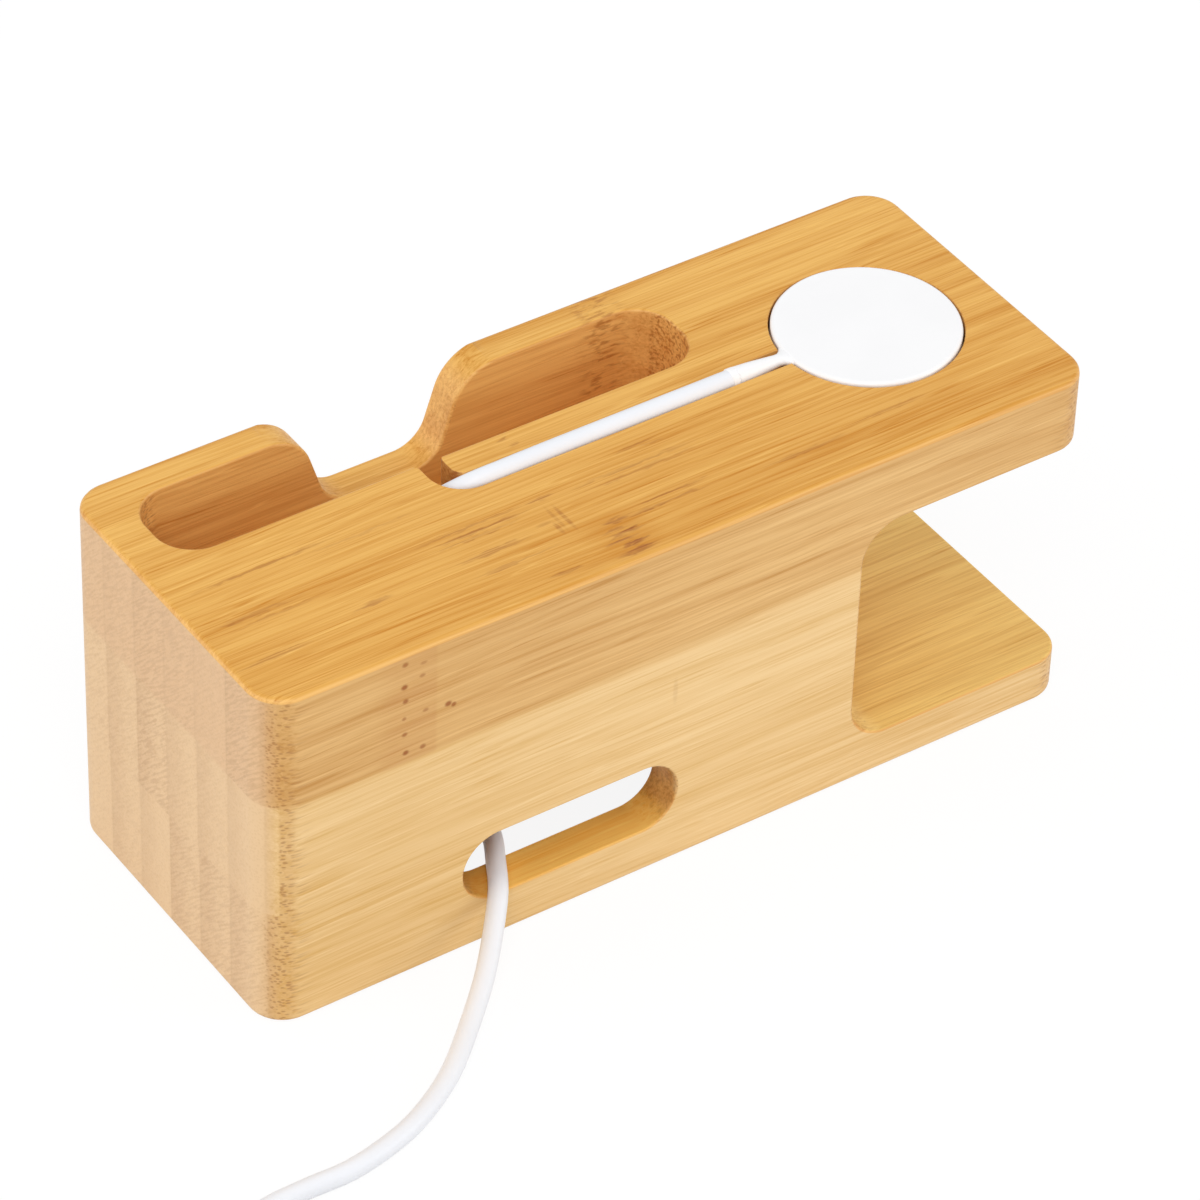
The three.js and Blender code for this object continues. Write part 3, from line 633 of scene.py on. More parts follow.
# Material helpers
class Value:
    """A node's output that takes part in arithmetic."""

    def __init__(self, nodes, socket):
        self.nodes = nodes
        self.socket = socket

    def __add__(self, other):
        return self.nodes.math("ADD", self, other)

    def __sub__(self, other):
        return self.nodes.math("SUBTRACT", self, other)

    def __rsub__(self, other):
        return self.nodes.math("SUBTRACT", other, self)

    def __mul__(self, other):
        return self.nodes.math("MULTIPLY", self, other)

    def __gt__(self, other):
        return self.nodes.math("GREATER_THAN", self, other)

    def __abs__(self):
        return self.nodes.math("ABSOLUTE", self)

    __radd__ = __add__

    def rise(self, low, high, start=0.0, end=1.0):
        """start below low, end above high, smooth between."""
        inputs = {"Value": self, "From Min": low, "From Max": high, "To Min": start, "To Max": end}
        return self.nodes.node("MapRange", inputs, interpolation_type="SMOOTHSTEP")

    def fall(self, low, high, most=1.0):
        """most below low, 0 above high, smooth between."""
        return self.rise(low, high, most, 0.0)


class Nodes:
    """A node tree as plain calls, fed with numbers, colours and the values of other nodes."""

    def __init__(self, tree):
        self.tree = tree

    def feed(self, socket, value):
        if isinstance(value, Value):
            self.tree.links.new(value.socket, socket)
        else:
            socket.default_value = value

    def node(self, kind, inputs, output=0, **settings):
        made = self.tree.nodes.new("ShaderNode" + kind)
        for key, value in settings.items():
            setattr(made, key, value)
        for key, value in inputs.items():
            self.feed(made.inputs[key], value)
        return Value(self, made.outputs[output])

    def math(self, operation, a, b=0.0):
        return self.node("Math", {0: a, 1: b}, operation=operation)

    def largest(self, most, *others):
        for other in others:
            most = self.math("MAXIMUM", most, other)
        return most

    def mix(self, share, a, b):
        return self.node("Mix", {0: share, 6: a, 7: b}, 2, data_type="RGBA")

    def split(self, vector):
        parts = self.tree.nodes.new("ShaderNodeSeparateXYZ")
        self.feed(parts.inputs[0], vector)
        return [Value(self, part) for part in parts.outputs]

    def join(self, x, y, z):
        return self.node("CombineXYZ", {0: x, 1: y, 2: z})

    def coordinates(self, kind="Object"):
        return self.node("TexCoord", {}, kind)

    def millimetres(self):
        inputs = {0: self.coordinates(), "Scale": 1 / MM}
        return self.node("VectorMath", inputs, operation="SCALE")

    def noise(self, vector, scale=1.0, detail=2.0, roughness=0.5):
        inputs = {"Vector": vector, "Scale": scale, "Detail": detail, "Roughness": roughness}
        return self.node("TexNoise", inputs)

    def bump(self, height, strength, distance):
        inputs = {"Strength": strength, "Distance": distance, "Height": height}
        return self.node("Bump", inputs)


class Shading(Nodes):
    """The nodes of a new material."""

    def __init__(self, name):
        self.material = bpy.data.materials.new(name)
        self.material.use_nodes = True
        super().__init__(self.material.node_tree)
        self.shader = self.tree.nodes["Principled BSDF"]

    def finish(self, **inputs):
        for key, value in inputs.items():
            self.feed(self.shader.inputs[key.replace("_", " ").title()], value)
        return self.material


def rgb(red, green, blue):
    """A colour given in screen values from 0 to 255."""
    def linear(value):
        share = value / 255
        return share / 12.92 if share <= 0.04045 else ((share + 0.055) / 1.055) ** 2.4

    return (linear(red), linear(green), linear(blue), 1)


def dimmed(color, share):
    return tuple(c * share for c in color[:3]) + (1,)


# Bamboo colours, light and dark
HONEY = rgb(239, 187, 98), rgb(200, 129, 26)
# Painted light: the next three pairs, for cut walls, the shelf under the arm and the hole's sill,
# are paler copies of the top's colour that lift their shade
WALL_PAINTED_LIGHT = rgb(244, 192, 112), rgb(204, 136, 62)
SHELF_PAINTED_LIGHT = rgb(246, 209, 122), rgb(206, 152, 66)
SILL_PAINTED_LIGHT = rgb(255, 204, 108), rgb(242, 166, 58)
TAN = rgb(237, 193, 127), rgb(200, 145, 74)
PALE = rgb(246, 210, 152), rgb(220, 172, 96)
END_UPPER = rgb(229, 189, 144)
END_LOWER = rgb(234, 198, 152)
END_DARK = rgb(204, 162, 118)
STAIN = rgb(198, 138, 78)
MARK_BROWN = rgb(156, 86, 26)
PORE_BROWN = rgb(172, 116, 62)
PORE_TINT = rgb(206, 152, 84)

# Places in the bamboo, in millimetres
TOP_Z = HEIGHT / MM
SIDE_Y = FRONT / MM
END_X = RIGHT / MM
SEAM_Y = [seam / MM for seam in SEAMS]
SLOT_END_X = SLOT_RIGHT / MM
SLOT_REAR_Y = SLOT_REAR / MM
SLOT_FRONT_Y = SLOT_FRONT / MM
SHELF_X = GAP_X / MM
LAYER_Z = (20.5, 40.5)
LAYER_SHIFT = -0.3
LAYER_EDGE = 0.7
LAYER_BLUR = 3.5
# Painted light: level faces below this height, the shelf and the hole's sill, get the paler
# painted-light colours
PAINTED_LIGHT_LOW_Z = (9, 12)
FRONT_JOINT_X = 17.0
ROUGH_END_Y = 18.9
CROSSING = 0.2
SEAM_WIDTH = (0.05, 0.5)
SHADE_WIDTH = (0.3, 6.5)
STAIN_BAND = ((-54, -49), (-43.2, -42.4))

# Fibres: waves a millimetre along and across them, then detail or, for threads, line width
SWAY = (0.02, 0.07)
BROAD = (0.012, 0.33, 3.0)
FINE = (0.035, 2.6, 3.0)
DASHES = (0.055, 2.9, 1.0)
THREADS = (0.012, 0.5, 0.03)
GLINTS = (0.016, 0.9, 0.025)
THREAD_BREAKS = 0.03
MOTTLE = (0.45, 1.6)
RAGGED = (0.35, 1.3)
PORES = (0.16, 2.1)
SAW_LINES = (0.1, 1.7, 0.22)

# Marks in the bamboo in millimetres: place, half length along the fibres, half width, strength
REAR_DOTS = [
    (-48, 58.1, 0.7, 0.6, 0.7),
    (-48.1, 54.1, 0.75, 0.65, 0.9),
    (-47.9, 51.5, 0.65, 0.6, 0.8),
    (-48.1, 48.4, 0.5, 0.45, 0.6),
    (-48, 45.5, 0.65, 0.55, 0.7),
    (-47.8, 42.1, 0.7, 0.6, 0.9),
    (-45, 57.2, 0.8, 0.4, 0.4),
    (-45.2, 55, 0.7, 0.45, 0.5),
    (-44.6, 48.5, 0.7, 0.45, 0.5),
    (-45, 42, 0.7, 0.6, 0.7),
    (-40.9, 47.9, 0.8, 0.65, 0.9),
    (-40, 47.4, 0.6, 0.6, 0.8),
    (-2.3, 32.5, 0.6, 3.2, 0.12),
]
TOP_MARKS = [
    (-14.4, -8.7, 2.6, 0.6, 0.55),
    (-26, -8.6, 11, 0.4, 0.45),
    (-25, -9.9, 10, 0.5, 0.5),
    (-26, -11, 9, 0.4, 0.4),
    (-26, -14.8, 8, 0.7, 0.5),
    (-45.5, -15.5, 3.4, 0.6, 0.7),
    (-61, -8.9, 9, 0.6, 0.45),
    (-58, -10.4, 9, 0.4, 0.3),
    (-55, -0.7, 14, 0.5, 0.4),
    (-40, -1.9, 11, 0.4, 0.35),
    (-63, -18, 7, 0.6, 0.4),
    (-24, -18.5, 9, 0.45, 0.5),
    (-20, -24, 4, 0.5, 0.45),
    (1, -9.2, 13, 0.45, 0.4),
    (2, -10.6, 12, 0.45, 0.35),
    (2, -17, 8, 0.4, 0.45),
    (1, -18.5, 9, 0.45, 0.5),
    (-7.5, -18.2, 3, 0.7, 0.8),
    (-8.5, -19.9, 3, 0.5, 0.6),
    (-8, -21.1, 4.2, 0.6, 0.85),
    (-9.5, -22.3, 3.4, 0.5, 0.8),
    (-8, -23.5, 2.6, 0.6, 1),
    (-8.5, -25.2, 4.2, 0.7, 0.9),
    (-11, 5.2, 1.2, 0.5, 0.4),
    (-10.6, 3.4, 1.2, 0.5, 0.35),
    (4, -5.6, 4, 0.35, 0.35),
    (6, -6.5, 3, 0.35, 0.35),
    (24, -19.5, 9, 0.5, 0.35),
    (40, -18, 8, 0.5, 0.35),
]
CROSS_MARKS = [
    (-14.5, -13.5, 0.45, 4, 0.28),
    (-13.3, -13.9, 0.5, 4, 0.45),
    (-15.3, -15.4, 0.55, 2, 0.42),
    (-16.6, -13.6, 1.8, 0.55, 0.3),
]
TOP_HALO = (-8.5, -21.5, 7.0, 7.0, 0.42)


class Bamboo(Shading):
    """Glued bamboo: fibres run along x and show as lines on the sides and as dots on the ends."""

    def __init__(self):
        super().__init__("bamboo")
        self.x, self.y, self.z = self.split(self.millimetres())
        self.plan = self.join(self.x, self.y, 0.0)
        nx, _, self.nz = self.split(self.coordinates("Normal"))
        self.turn = abs(nx)
        self.sway = (self.noise(self.scaled(*SWAY), detail=1.0) - 0.5) * 1.8
        self.mottle = self.noise(self.scaled(*MOTTLE)).rise(0.46, 0.66)
        self.mask_faces()
        self.mask_slot_end()
        blur = LAYER_EDGE + self.x.rise(-35, 5) * LAYER_BLUR
        self.upper = self.z.rise(LAYER_Z[1] - blur, LAYER_Z[1] + blur)

    def mask_faces(self):
        """Values that are 1 on one kind of face and 0 elsewhere."""
        self.level = self.nz.rise(0.55, 0.9)
        self.top = self.level * self.z.rise(TOP_Z - 1.5, TOP_Z - 0.7)
        self.off_edge = self.nz.fall(0.05, 0.3)
        upright = self.off_edge * self.nz.rise(-0.9, -0.55)
        past_side = abs(self.y).rise(SIDE_Y - 1.2, SIDE_Y - 0.5)
        past_end = abs(self.x).rise(END_X - 5.7, END_X - 5.3)
        self.rear = self.y.fall(1.5 - SIDE_Y, 2.5 - SIDE_Y) * upright
        self.skin = self.largest(past_side, past_end) * upright
        self.cut = self.turn.rise(0.5, 0.95)
        self.end = self.cut * past_end * upright
        self.inner_end = self.turn.rise(0.3, 0.8) * (1.0 - past_end)
        self.front_wall = self.y.rise(SLOT_FRONT_Y - 0.9, SLOT_FRONT_Y - 0.4)

    def mask_slot_end(self):
        """The slot's right end is plain beside the front wall and rough beyond it."""
        begins = self.x.rise(SLOT_END_X - 6.1, SLOT_END_X - 5.3)
        slot_end = begins * self.x.fall(SLOT_END_X + 1, SLOT_END_X + 2)
        edge = (ROUGH_END_Y - CROSSING, ROUGH_END_Y + CROSSING)
        self.plain_end = slot_end * self.y.rise(*edge)
        self.rough_end = slot_end * self.y.fall(*edge)

    def scaled(self, along, across, sway=0.0):
        """The place, counted in waves along the fibres and across them."""
        return self.join(self.x * along, (self.y + sway) * across, (self.z + sway) * across)

    def fibres(self, along, across, detail):
        place = self.scaled(along, across, self.sway)
        return self.noise(place, detail=detail, roughness=0.6)

    def threads(self, along, across, width):
        """Long thin lines along the fibres, here and there."""
        level = abs(self.fibres(along, across, 1.0) - 0.5)
        present = self.fibres(THREAD_BREAKS, across, 1.0).rise(0.4, 0.6)
        return level.fall(0.0, width) * present

    def layer(self):
        """0 in the lowest layer of strips, 1 in the middle, 2 on top."""
        return sum(self.z > z for z in LAYER_Z)

    def shifted_y(self):
        """y, with the seams of each layer set off a little from those below."""
        return self.y + self.layer() * LAYER_SHIFT

    def tone(self):
        """A random value for each strip."""
        y = self.shifted_y()
        ply = sum(y > seam for seam in SEAM_Y)
        return self.node("TexWhiteNoise", {"Vector": self.join(ply, self.layer(), 0.5)})

    def spot(self, plan, mark):
        """The mark's strength at its place, fading to 0 at the edge of an ellipse."""
        x, v, along, across, strength = mark
        inputs = {0: plan, 1: (1 / along, 1 / across, 0), 2: (-x / along, -v / across, 0)}
        offset = self.node("VectorMath", inputs, operation="MULTIPLY_ADD")
        reach = self.node("VectorMath", {0: offset}, "Value", operation="LENGTH")
        return reach.fall(0.3, 1.0, strength)

    def build(self):
        broad = self.fibres(*BROAD).rise(0.34, 0.68)
        fine = self.fibres(*FINE).rise(0.38, 0.7)
        threads = self.threads(*THREADS)
        tone = self.tone()
        slanted = self.slanted()
        pores = self.pores(slanted)
        color = self.base(self.streaks_and_edge_shade(broad, fine, threads, tone), tone)
        color = self.mix(slanted * self.skin * 0.3, color, PORE_TINT)
        color = self.mix(pores * 0.62, color, PORE_BROWN)
        color = self.mix(self.seams() * (tone + 0.2), color, END_DARK)
        color = self.mix(self.halo(broad), color, HONEY[1])
        color = self.mix(self.stains(broad), color, STAIN)
        color = self.mix(self.marks(fine), color, MARK_BROWN)
        lines = (fine * -0.5 + threads * -0.4) * self.turn.fall(0.1, 0.6)
        self.shader.inputs["Specular IOR Level"].default_value = 0.35
        bump = self.bump(lines + pores * -0.25, 0.25, 0.1 * MM)
        return self.finish(base_color=color, roughness=fine * 0.12 + 0.42, normal=bump)

    def streaks_and_edge_shade(self, broad, fine, threads, tone):
        """How dark the fibres are, with painted shade along the top's rounded front edge, from 0
        to 1.
        """
        total = (
            broad * 0.34
            + fine * 0.36
            + self.fibres(*DASHES).rise(0.63, 0.72) * 0.28
            + threads * 0.3
            + self.threads(*GLINTS) * -0.3
            + tone * 0.16
            + self.x.fall(-30, 5) * self.skin * 0.16
            + self.y.fall(-14, 4) * self.top * 0.2
            # Painted shade: the top darkens towards its rounded front edge, which turns away from
            # the light
            + self.y.rise(SIDE_Y - 2.2, SIDE_Y - 0.6) * self.top * 0.3
            - 0.06
        )
        return self.node("Clamp", {"Value": total})

    def base(self, streaks_and_edge_shade, tone):
        """The wood's colour: its skin by layers, cut faces by where they lie, and the ends. Cut
        walls, the shelf and the hole's sill are painted paler than the top, as painted light in
        their shade.
        """
        # Painted light: the shelf under the arm and the hole's sill get paler colours that stand
        # in for light in their shade
        on_shelf = self.x.rise(SHELF_X - 2, SHELF_X + 1)
        low_painted_light = self.mix(on_shelf, self.mix(streaks_and_edge_shade, *SILL_PAINTED_LIGHT), self.mix(streaks_and_edge_shade, *SHELF_PAINTED_LIGHT))
        # Painted light: upright cut faces get a paler colour than the top, which lifts the shade
        # in the slot and the other cuts
        honey_and_painted_light = self.mix(self.level, self.mix(streaks_and_edge_shade, *WALL_PAINTED_LIGHT), self.mix(streaks_and_edge_shade, *HONEY))
        honey_and_painted_light = self.mix(self.level * self.z.fall(*PAINTED_LIGHT_LOW_Z), honey_and_painted_light, low_painted_light)
        side = self.mix(self.upper, self.mix(streaks_and_edge_shade, *PALE), self.mix(streaks_and_edge_shade, *TAN))
        grain = self.noise(self.saw_lines(), detail=1.0).rise(0.4, 0.65)
        cut_dark = grain * tone * 0.5 + streaks_and_edge_shade * 0.25 + tone * 0.1 + self.seam_shade() - 0.13
        ends = self.mix(cut_dark, self.mix(self.upper, END_LOWER, END_UPPER), END_DARK)
        return self.mix(self.end, self.mix(self.skin, honey_and_painted_light, side), ends)

    def saw_lines(self):
        """The place, counted along short slanting lines as a saw leaves them in end grain."""
        deep, across, along = SAW_LINES
        return self.join(self.x * deep, (self.z + self.y) * across, (self.z - self.y) * along)

    def slanted(self):
        """1 where the surface runs slantwise across the fibres, but for one strip's plain edge."""
        lower, upper = [self.z.rise(z - CROSSING, z + CROSSING) for z in LAYER_Z]
        plain = (lower - upper) * self.turn.rise(0.54, 0.6) * self.skin
        open_part = self.turn.rise(0.04, 0.4) * self.turn.fall(0.72, 0.97)
        return open_part * (1.0 - (plain + self.plain_end)) * self.off_edge

    def pores(self, slanted):
        """Fibre ends, which run out into short dashes beside the rounded corners."""
        cells = self.node("TexVoronoi", {"Vector": self.scaled(*PORES), "Scale": 1.0})
        near_end = abs(self.x).rise(END_X - 8, END_X - 4)
        beside = near_end * self.skin * self.turn.fall(0.05, 0.5) * 0.6
        faint = self.cut * self.off_edge * 0.15
        return cells.fall(0.2, 0.5) * self.largest(slanted, beside, faint)

    def seams(self):
        y = self.shifted_y()
        lines = [abs(y - seam).fall(*SEAM_WIDTH) for seam in SEAM_Y]
        return self.largest(*lines) * self.end * 0.2

    def seam_shade(self):
        """Each strip of the end is darker beside its seam, most in the lower layers."""
        y = self.shifted_y()
        past = [seam - y for seam in SEAM_Y]
        shades = [p.rise(-CROSSING, CROSSING) * p.fall(*SHADE_WIDTH) for p in past]
        return self.largest(*shades) * (self.upper * -0.22 + 0.32)

    def stains(self, broad):
        starts, ends = STAIN_BAND
        band = self.x.rise(*starts) * self.x.fall(*ends)
        return self.rear * self.upper * band * (broad * 0.32 + 0.1)

    def halo(self, broad):
        return self.spot(self.plan, TOP_HALO) * self.top * (broad + 0.6)

    def marks(self, fine):
        """Marks on the top and rear, a node in the slot's front wall, and rough inner ends."""
        behind = self.join(self.x, self.z, 0.0)
        rear = self.largest(*[self.spot(behind, mark) for mark in REAR_DOTS])
        joint = abs(self.x - FRONT_JOINT_X).fall(1.0, 5.5)
        front = joint * self.front_wall * self.upper * self.mottle * 0.55
        return self.largest(self.top_marks(fine), rear * self.rear, front, self.rough_ends())

    def top_marks(self, fine):
        ragged = self.noise(self.scaled(*RAGGED)) - 0.5
        frayed = self.join(self.x + ragged * 5.0, self.y + ragged * 1.6, 0.0)
        spots = [self.spot(frayed, mark) for mark in TOP_MARKS]
        spots += [self.spot(self.plan, mark) for mark in CROSS_MARKS]
        return self.largest(*spots) * self.top * (fine * 0.75 + 0.55)

    def rough_ends(self):
        beside = abs(self.x - TURN_X / MM).fall(2.6, 3.4)
        at_slot = self.y.fall(SLOT_REAR_Y + 0.2, SLOT_REAR_Y + 1)
        speckled = (
            self.mottle * 0.3
            + beside * at_slot * 0.5
            + self.rough_end * self.mottle * 0.3
            + self.front_wall * -0.1
            + 0.12
        )
        plainer = (self.front_wall + self.plain_end) * -0.55
        return self.inner_end * speckled * (plainer + 1.0)


# Other materials
CABLE_WHITE = rgb(239, 241, 246)
SHELL_WHITE = rgb(249, 249, 250)
NICKEL = rgb(205, 206, 208)
GOLD = rgb(222, 184, 96)
TAPE = rgb(62, 62, 64), rgb(28, 28, 29)
COPPER = rgb(200, 128, 78), rgb(130, 72, 40)
BOARD_GREEN = rgb(70, 120, 78), rgb(48, 92, 58)
FERRITE_GREY = rgb(66, 66, 68), rgb(48, 48, 50)
WEAVE = (0.9, 0.7)
WIRE_PITCH = 0.4


def white_plastic(name, color, roughness):
    s = Shading(name)
    cloud = s.noise(s.millimetres(), 0.12, 3.0)
    grain = s.noise(s.millimetres(), 9.0)
    tint = s.mix(cloud.rise(0.3, 0.7), color, dimmed(color, 0.985))
    rough = cloud * 0.08 + roughness
    return s.finish(base_color=tint, roughness=rough, normal=s.bump(grain, 0.06, 0.05 * MM))


def metal(name, color, roughness):
    s = Shading(name)
    x, y, z = s.split(s.millimetres())
    brushed = s.noise(s.join(x * 0.6, y * 12, z * 12), 1.0, 3.0)
    tint = s.mix(brushed, color, dimmed(color, 0.85))
    rough = brushed * 0.12 + roughness
    bump = s.bump(brushed, 0.05, 0.05 * MM)
    return s.finish(base_color=tint, metallic=1.0, roughness=rough, normal=bump)


def grainy(name, color, dark, roughness, scale):
    s = Shading(name)
    grain = s.noise(s.millimetres(), scale, 4.0)
    tint = s.mix(grain.rise(0.35, 0.65), color, dark)
    return s.finish(base_color=tint, roughness=roughness, normal=s.bump(grain, 0.2, 0.1 * MM))


def waves(value, length):
    return value.nodes.math("SINE", value * (2 * math.pi / length))


def woven(name, color, dark):
    s = Shading(name)
    x, y, z = s.split(s.millimetres())
    weave = (waves(x + z, WEAVE[0]) * waves(y, WEAVE[1])).rise(-0.8, 0.8)
    tint = s.mix(weave, dark, color)
    return s.finish(base_color=tint, roughness=0.85, normal=s.bump(weave, 0.6, 0.1 * MM))


def wound(name, color, dark):
    """Turns of wire around the puck's axis."""
    s = Shading(name)
    x, y, _ = s.split(s.millimetres())
    x, y = x - PUCK_X / MM, y - PUCK_Y / MM
    turns = waves(s.math("SQRT", x * x + y * y), WIRE_PITCH).rise(-1.0, 1.0)
    tint = s.mix(turns, dark, color)
    bump = s.bump(turns, 0.6, 0.1 * MM)
    return s.finish(base_color=tint, metallic=0.8, roughness=0.35, normal=bump)


def dress(material, *nodes):
    for node in nodes:
        paint(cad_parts[node], material)


# Puck
SHELL_WALL = 1.2 * MM
SHELL_EDGE = 0.8 * MM
COVER_EDGE = 0.6 * MM
RIM_STEPS = 6
PART_LINE = 0.08 * MM
SLEEVE_SOFT = 0.15 * MM
WINDING_GAP = 0.8 * MM
WINDING_TURNS = 10
WINDING_STEPS = 48
WINDING_FILL = 0.42
WINDING_COARSE = 9

# Sleeve in millimetres: distance from its start or end, half width, half height
SLEEVE_TAPER = [(5.2, 1.18, 1.18)]
SLEEVE_FLARE = [
    (-1.4, 0.98, 0.94),
    (-0.7, 1.1, 0.84),
    (0, 1.55, 0.76),
    (0.5, 2.2, 0.7),
    (0.9, 2.7, 0.66),
]


def add_puck(material):
    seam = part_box("puck_cover")[0].z
    low, high = PUCK_LOW.z, PUCK_HIGH.z
    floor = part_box("puck_board")[0].z
    inside = PUCK_RADIUS - SHELL_WALL
    foot = [(PUCK_RADIUS - out, low + up) for up, out in rounding(SHELL_EDGE, RIM_STEPS)][::-1]
    rim = [(PUCK_RADIUS - out, high - down) for down, out in rounding(COVER_EDGE, RIM_STEPS)]
    shell = [(0, low), *foot, (PUCK_RADIUS, seam - PART_LINE), (PUCK_RADIUS - PART_LINE, seam)]
    shell += [(inside, seam), (inside, floor), (0, floor)]
    cover = [(0, seam), (PUCK_RADIUS - PART_LINE, seam), (PUCK_RADIUS, seam + PART_LINE)]
    cover += [*rim, (0, high)]
    for node, profile in (("puck_shell", shell), ("puck_cover", cover)):
        made = turned(node + "_visual", profile, (PUCK_X, PUCK_Y, 0))
        finish_piece(made, material, "charging_puck", "white_shell", node)


def oval_loft(name, rings, steps=40):
    """A closed body along the groove through ovals given as (x, half width, half height)."""
    angles = [2 * math.pi * i / steps for i in range(steps)]
    return skin(name, [
        [(x, AXIS_Y + wide * math.cos(a), CABLE_Z + high * math.sin(a)) for a in angles]
        for x, wide, high in rings
    ])


def add_sleeve(material):
    """The tapered sleeve, which widens again where it runs into the puck's side, and its ring."""
    thick = (SLEEVE_HIGH.y - SLEEVE_LOW.y) / 2
    thinner = thick - 0.16 * MM
    start, end = SLEEVE_LOW.x, SLEEVE_HIGH.x
    sleeve = [
        (start, thick - SLEEVE_SOFT, thick - SLEEVE_SOFT),
        (start + SLEEVE_SOFT, thick, thick),
        (start + 2.6 * MM, thinner, thinner),
    ]
    for place, rows in ((start, SLEEVE_TAPER), (end, SLEEVE_FLARE)):
        sleeve += [(place + x * MM, wide * MM, high * MM) for x, wide, high in rows]
    half = (RING_HIGH.y - RING_LOW.y) / 2
    softer = half - SLEEVE_SOFT
    ring = [
        (CABLE_START_X, softer, softer),
        (CABLE_START_X + SLEEVE_SOFT, half, half),
        (RING_HIGH.x - SLEEVE_SOFT, half, half),
        (RING_HIGH.x, softer, softer),
    ]
    for node, rings in (("puck_sleeve", sleeve), ("puck_sleeve_ring", ring)):
        made = oval_loft(node + "_visual", rings)
        finish_piece(made, material, "charging_puck", "white_shell", node)


def add_winding(material):
    """The induction coil, a flat wire wound on edge round the magnet."""
    low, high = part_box("puck_winding")
    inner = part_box("puck_magnet")[1].x - PUCK_X + WINDING_GAP
    outer = (high.x - low.x) / 2
    pitch = (outer - inner) / WINDING_TURNS
    half, tall = WINDING_FILL * pitch, (high.z - low.z) / 2
    section = rounded_rectangle(-half, -tall, half, tall, half)[::WINDING_COARSE]
    rings = []
    for i in range((WINDING_TURNS - 1) * WINDING_STEPS + 1):
        turn = 2 * math.pi * i / WINDING_STEPS
        reach = inner + pitch * (i / WINDING_STEPS + 0.5)
        cos, sin = math.cos(turn), math.sin(turn)
        rings.append([
            (PUCK_X + (reach + out) * cos, PUCK_Y + (reach + out) * sin, low.z + tall + up)
            for out, up in section
        ])
    wire = skin("puck_winding_wire", rings)
    finish_piece(wire, material, "charging_puck", "copper", "puck_winding")


# Pieces on the cord
TIE_START = 4 * MM
SLEEVE_RIBS = 5
RIB_STEPS = ((0.1, 0), (0.55, 0), (0.65, 0.25 * MM), (0.95, 0.25 * MM))
SLEEVE_WALL = 0.4 * MM
SLEEVE_LIP = 0.2 * MM
PLUG_CORNER = 2.4 * MM
PLUG_SEAM = 1.6 * MM
SHEET = 0.35 * MM
SHEET_LIP = 0.12 * MM
WINDOW_X = 5 * MM
WINDOW_Y = 2.8 * MM
WINDOW_SIZE = 2.2 * MM

# Plug body in millimetres: distance from its rear, seam or front, growth of its outline
PLUG_REAR = [(0, -0.9), (0.12, -0.5), (0.4, -0.2), (0.9, 0)]
PLUG_GROOVE = [(0, 0), (0.05, -0.12), (0.15, -0.12), (0.2, 0)]
PLUG_FRONT = [(-0.5, 0), (-0.15, -0.15), (0, -0.5)]


def strip(name, line, y, width, thickness):
    """A flat strip with soft edges along a line in x and z."""
    w, t, edge = width / 2, thickness / 2, thickness / 3
    section = [(-w, edge - t), (-w, t - edge), (edge - w, t), (w - edge, t)]
    section += [(-a, -b) for a, b in section]
    rings = []
    for i, (x, z) in enumerate(line):
        before, after = line[max(i - 1, 0)], line[min(i + 1, len(line) - 1)]
        way = Vector((after[0] - before[0], after[1] - before[1])).normalized()
        rings.append([(x + way.y * out, y + side, z - way.x * out) for side, out in section])
    return skin(name, rings)


def tie_line(low, high):
    """Once round a bundle from its top, and on over the strip's own beginning."""
    half = TIE_THICKNESS / 2
    loop = rounded_rectangle(
        low.x + half, low.z + half, high.x - half, high.z - half, CABLE_RADIUS - half
    )
    outer = grown(loop, TIE_THICKNESS)
    count = len(loop) // 4
    start = (loop[2 * count - 1][0] - TIE_START, high.z - half)
    line = [start, *loop[2 * count:], *loop[:count]]
    for i in range(count, 2 * count):
        share = (i - count) / (count - 1)
        line.append(tuple(Vector(loop[i]).lerp(Vector(outer[i]), share)))
    line.append((line[-1][0] - TIE_TAIL, line[-1][1]))
    return line


def add_ties(material):
    made = []
    for node in ("coil_tie_1", "coil_tie_2"):
        line = tie_line(*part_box(node))
        piece = strip(node + "_strap", line, COIL_Y, TIE_WIDTH, TIE_THICKNESS)
        finish_piece(piece, material, "stand", "tie", node)
        made.append(piece)
    return made


def plug_sleeve():
    """A tapered sleeve with grooves round it."""
    low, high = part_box("plug_sleeve")
    thin, thick = CABLE_RADIUS + SLEEVE_WALL, (high.y - low.y) / 2
    profile = [(0, low.x), (thin - SLEEVE_LIP, low.x)]
    for i in range(SLEEVE_RIBS):
        for share, depth in RIB_STEPS:
            part = (i + share) / SLEEVE_RIBS
            x = low.x + (high.x - low.x) * part
            profile.append((thin + (thick - thin) * part - depth, x))
    profile += [(thick, high.x), (0, high.x)]
    return turned("plug_sleeve_ribbed", profile, (0, PLUG_Y, PLUG_Z), axis="x", steps=40)


def plug_body():
    low, high = PLUG_LOW, PLUG_HIGH
    outline = rounded_rectangle(low.y, low.z, high.y, high.z, PLUG_CORNER)
    levels = []
    for x, rows in ((low.x, PLUG_REAR), (high.x - PLUG_SEAM, PLUG_GROOVE), (high.x, PLUG_FRONT)):
        levels += [(x + ahead * MM, growth * MM) for ahead, growth in rows]
    return loft("plug_body_moulded", outline, levels, "x")


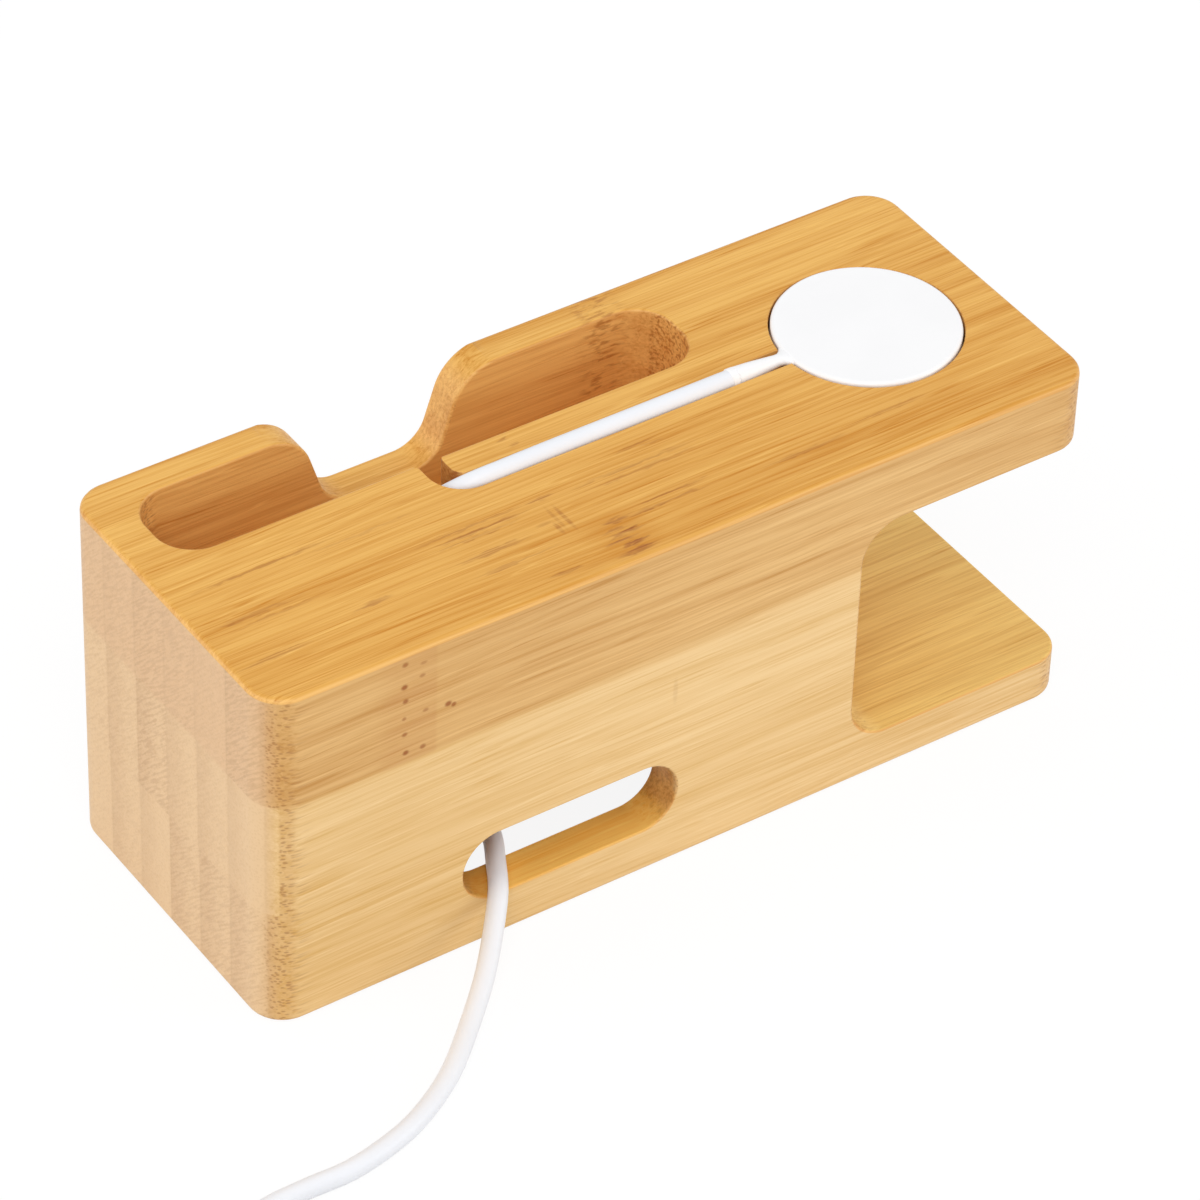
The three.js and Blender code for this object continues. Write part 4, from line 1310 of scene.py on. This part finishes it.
def plug_shell():
    """A folded sheet with two windows in each broad side."""
    low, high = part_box("plug_shell")
    outside = rounded_rectangle(low.y, low.z, high.y, high.z, 2 * SHEET)
    inside = rounded_rectangle(low.y + SHEET, low.z + SHEET, high.y - SHEET, high.z - SHEET, SHEET)
    levels = [(low.x, 0), (high.x - SHEET_LIP, 0), (high.x, -SHEET_LIP)]
    shell = loft("plug_shell_folded", outside, levels, "x")
    bore = loft("bore", inside, [(low.x - PAST, 0), (high.x + PAST, 0)], "x")
    boolean(shell, bore, "DIFFERENCE")
    half = WINDOW_SIZE / 2
    for y in (PLUG_Y - WINDOW_Y, PLUG_Y + WINDOW_Y):
        x = low.x + WINDOW_X
        far = (x + WINDOW_SIZE, y + half, high.z + PAST)
        boolean(shell, box_object("window", (x, y - half, low.z - PAST), far), "DIFFERENCE")
    return shell


def add_plug(white, nickel):
    parts = [
        (plug_sleeve(), white, "white_shell", "plug_sleeve"),
        (plug_body(), white, "white_shell", "plug_body"),
        (plug_shell(), nickel, "steel", "plug_shell"),
    ]
    for piece, material, slot, node in parts:
        finish_piece(piece, material, "stand", slot, node)
    return [part[0] for part in parts]


# Stage
FLOOR_HALF = 3.0
FLOOR_COLOR = (0.8, 0.8, 0.8, 1)
FLOOR_SHADE = (0.11, 0.11, 0.11, 1)
FLOOR_GLOW = 0.9
WORLD_STRENGTH = 0.69

# Name, place, size and power
LIGHTS = [
    ("key", (-0.6, -0.8, 1.2), 0.9, 6.5),
    ("left", (-1.2, 0.3, 0.7), 0.8, 3.4),
    ("fill", (1.0, -0.8, 0.5), 0.8, 3.5),
]


def add_light(name, place, size, power):
    data = bpy.data.lights.new(name, "AREA")
    data.shape = "DISK"
    data.size = size
    data.energy = power
    lamp = link(name, data)
    lamp.location = place
    lamp.rotation_euler = (-Vector(place)).to_track_quat("-Z", "Y").to_euler()


def seen_directly(nodes):
    """1 for rays from the camera and for those seen in gloss or glass."""
    kinds = ("Is Camera Ray", "Is Glossy Ray", "Is Transmission Ray")
    return nodes.largest(*[nodes.node("LightPath", {}, kind) for kind in kinds])


def floor_material():
    """A floor that looks white with a faint shadow, and lights the object as a pale floor does."""
    s = Shading("floor")
    pale = s.node("BsdfDiffuse", {"Color": FLOOR_COLOR})
    shade = s.node("BsdfDiffuse", {"Color": FLOOR_SHADE})
    bright = s.node("AddShader", {0: shade, 1: s.node("Emission", {"Strength": FLOOR_GLOW})})
    mixed = s.node("MixShader", {0: seen_directly(s), 1: pale, 2: bright})
    s.feed(s.tree.nodes["Material Output"].inputs["Surface"], mixed)
    s.tree.nodes.remove(s.shader)
    return s.material


def add_world():
    world = bpy.data.worlds.new("world")
    bpy.context.scene.world = world
    world.use_nodes = True
    nodes = Nodes(world.node_tree)
    background = world.node_tree.nodes["Background"]
    background.inputs["Color"].default_value = (1, 1, 1, 1)
    level = nodes.node("MapRange", {"Value": seen_directly(nodes), "To Min": WORLD_STRENGTH})
    nodes.feed(background.inputs["Strength"], level)


def add_stage():
    far = FLOOR_HALF
    corners = [(-far, -far, 0), (far, -far, 0), (far, far, 0), (-far, far, 0)]
    floor = link("floor", mesh_from("floor", corners, [(0, 1, 2, 3)]))
    paint(floor, floor_material())
    add_world()
    for row in LIGHTS:
        add_light(*row)
    bpy.context.scene.view_settings.view_transform = "Standard"


add_camera()
white_cable = white_plastic("cable_white", CABLE_WHITE, 0.38)
white_shell = white_plastic("shell_white", SHELL_WHITE, 0.25)
nickel = metal("nickel", NICKEL, 0.25)
on_cord = add_ties(woven("tape_black", *TAPE))
on_cord += add_plug(white_shell, nickel)
add_cord(white_cable, on_cord + ["plug_tongue", *CONTACTS])
add_plies(Bamboo().build())
add_puck(white_shell)
add_sleeve(white_shell)
add_winding(wound("copper_wire", *COPPER))
dress(grainy("board_green", *BOARD_GREEN, 0.5, 2.0), "puck_board")
dress(grainy("ferrite_grey", *FERRITE_GREY, 0.7, 4.0), "puck_ferrite")
dress(nickel, "puck_magnet")
dress(metal("gold", GOLD, 0.25), *CONTACTS)
dress(white_shell, "plug_tongue")
add_stage()
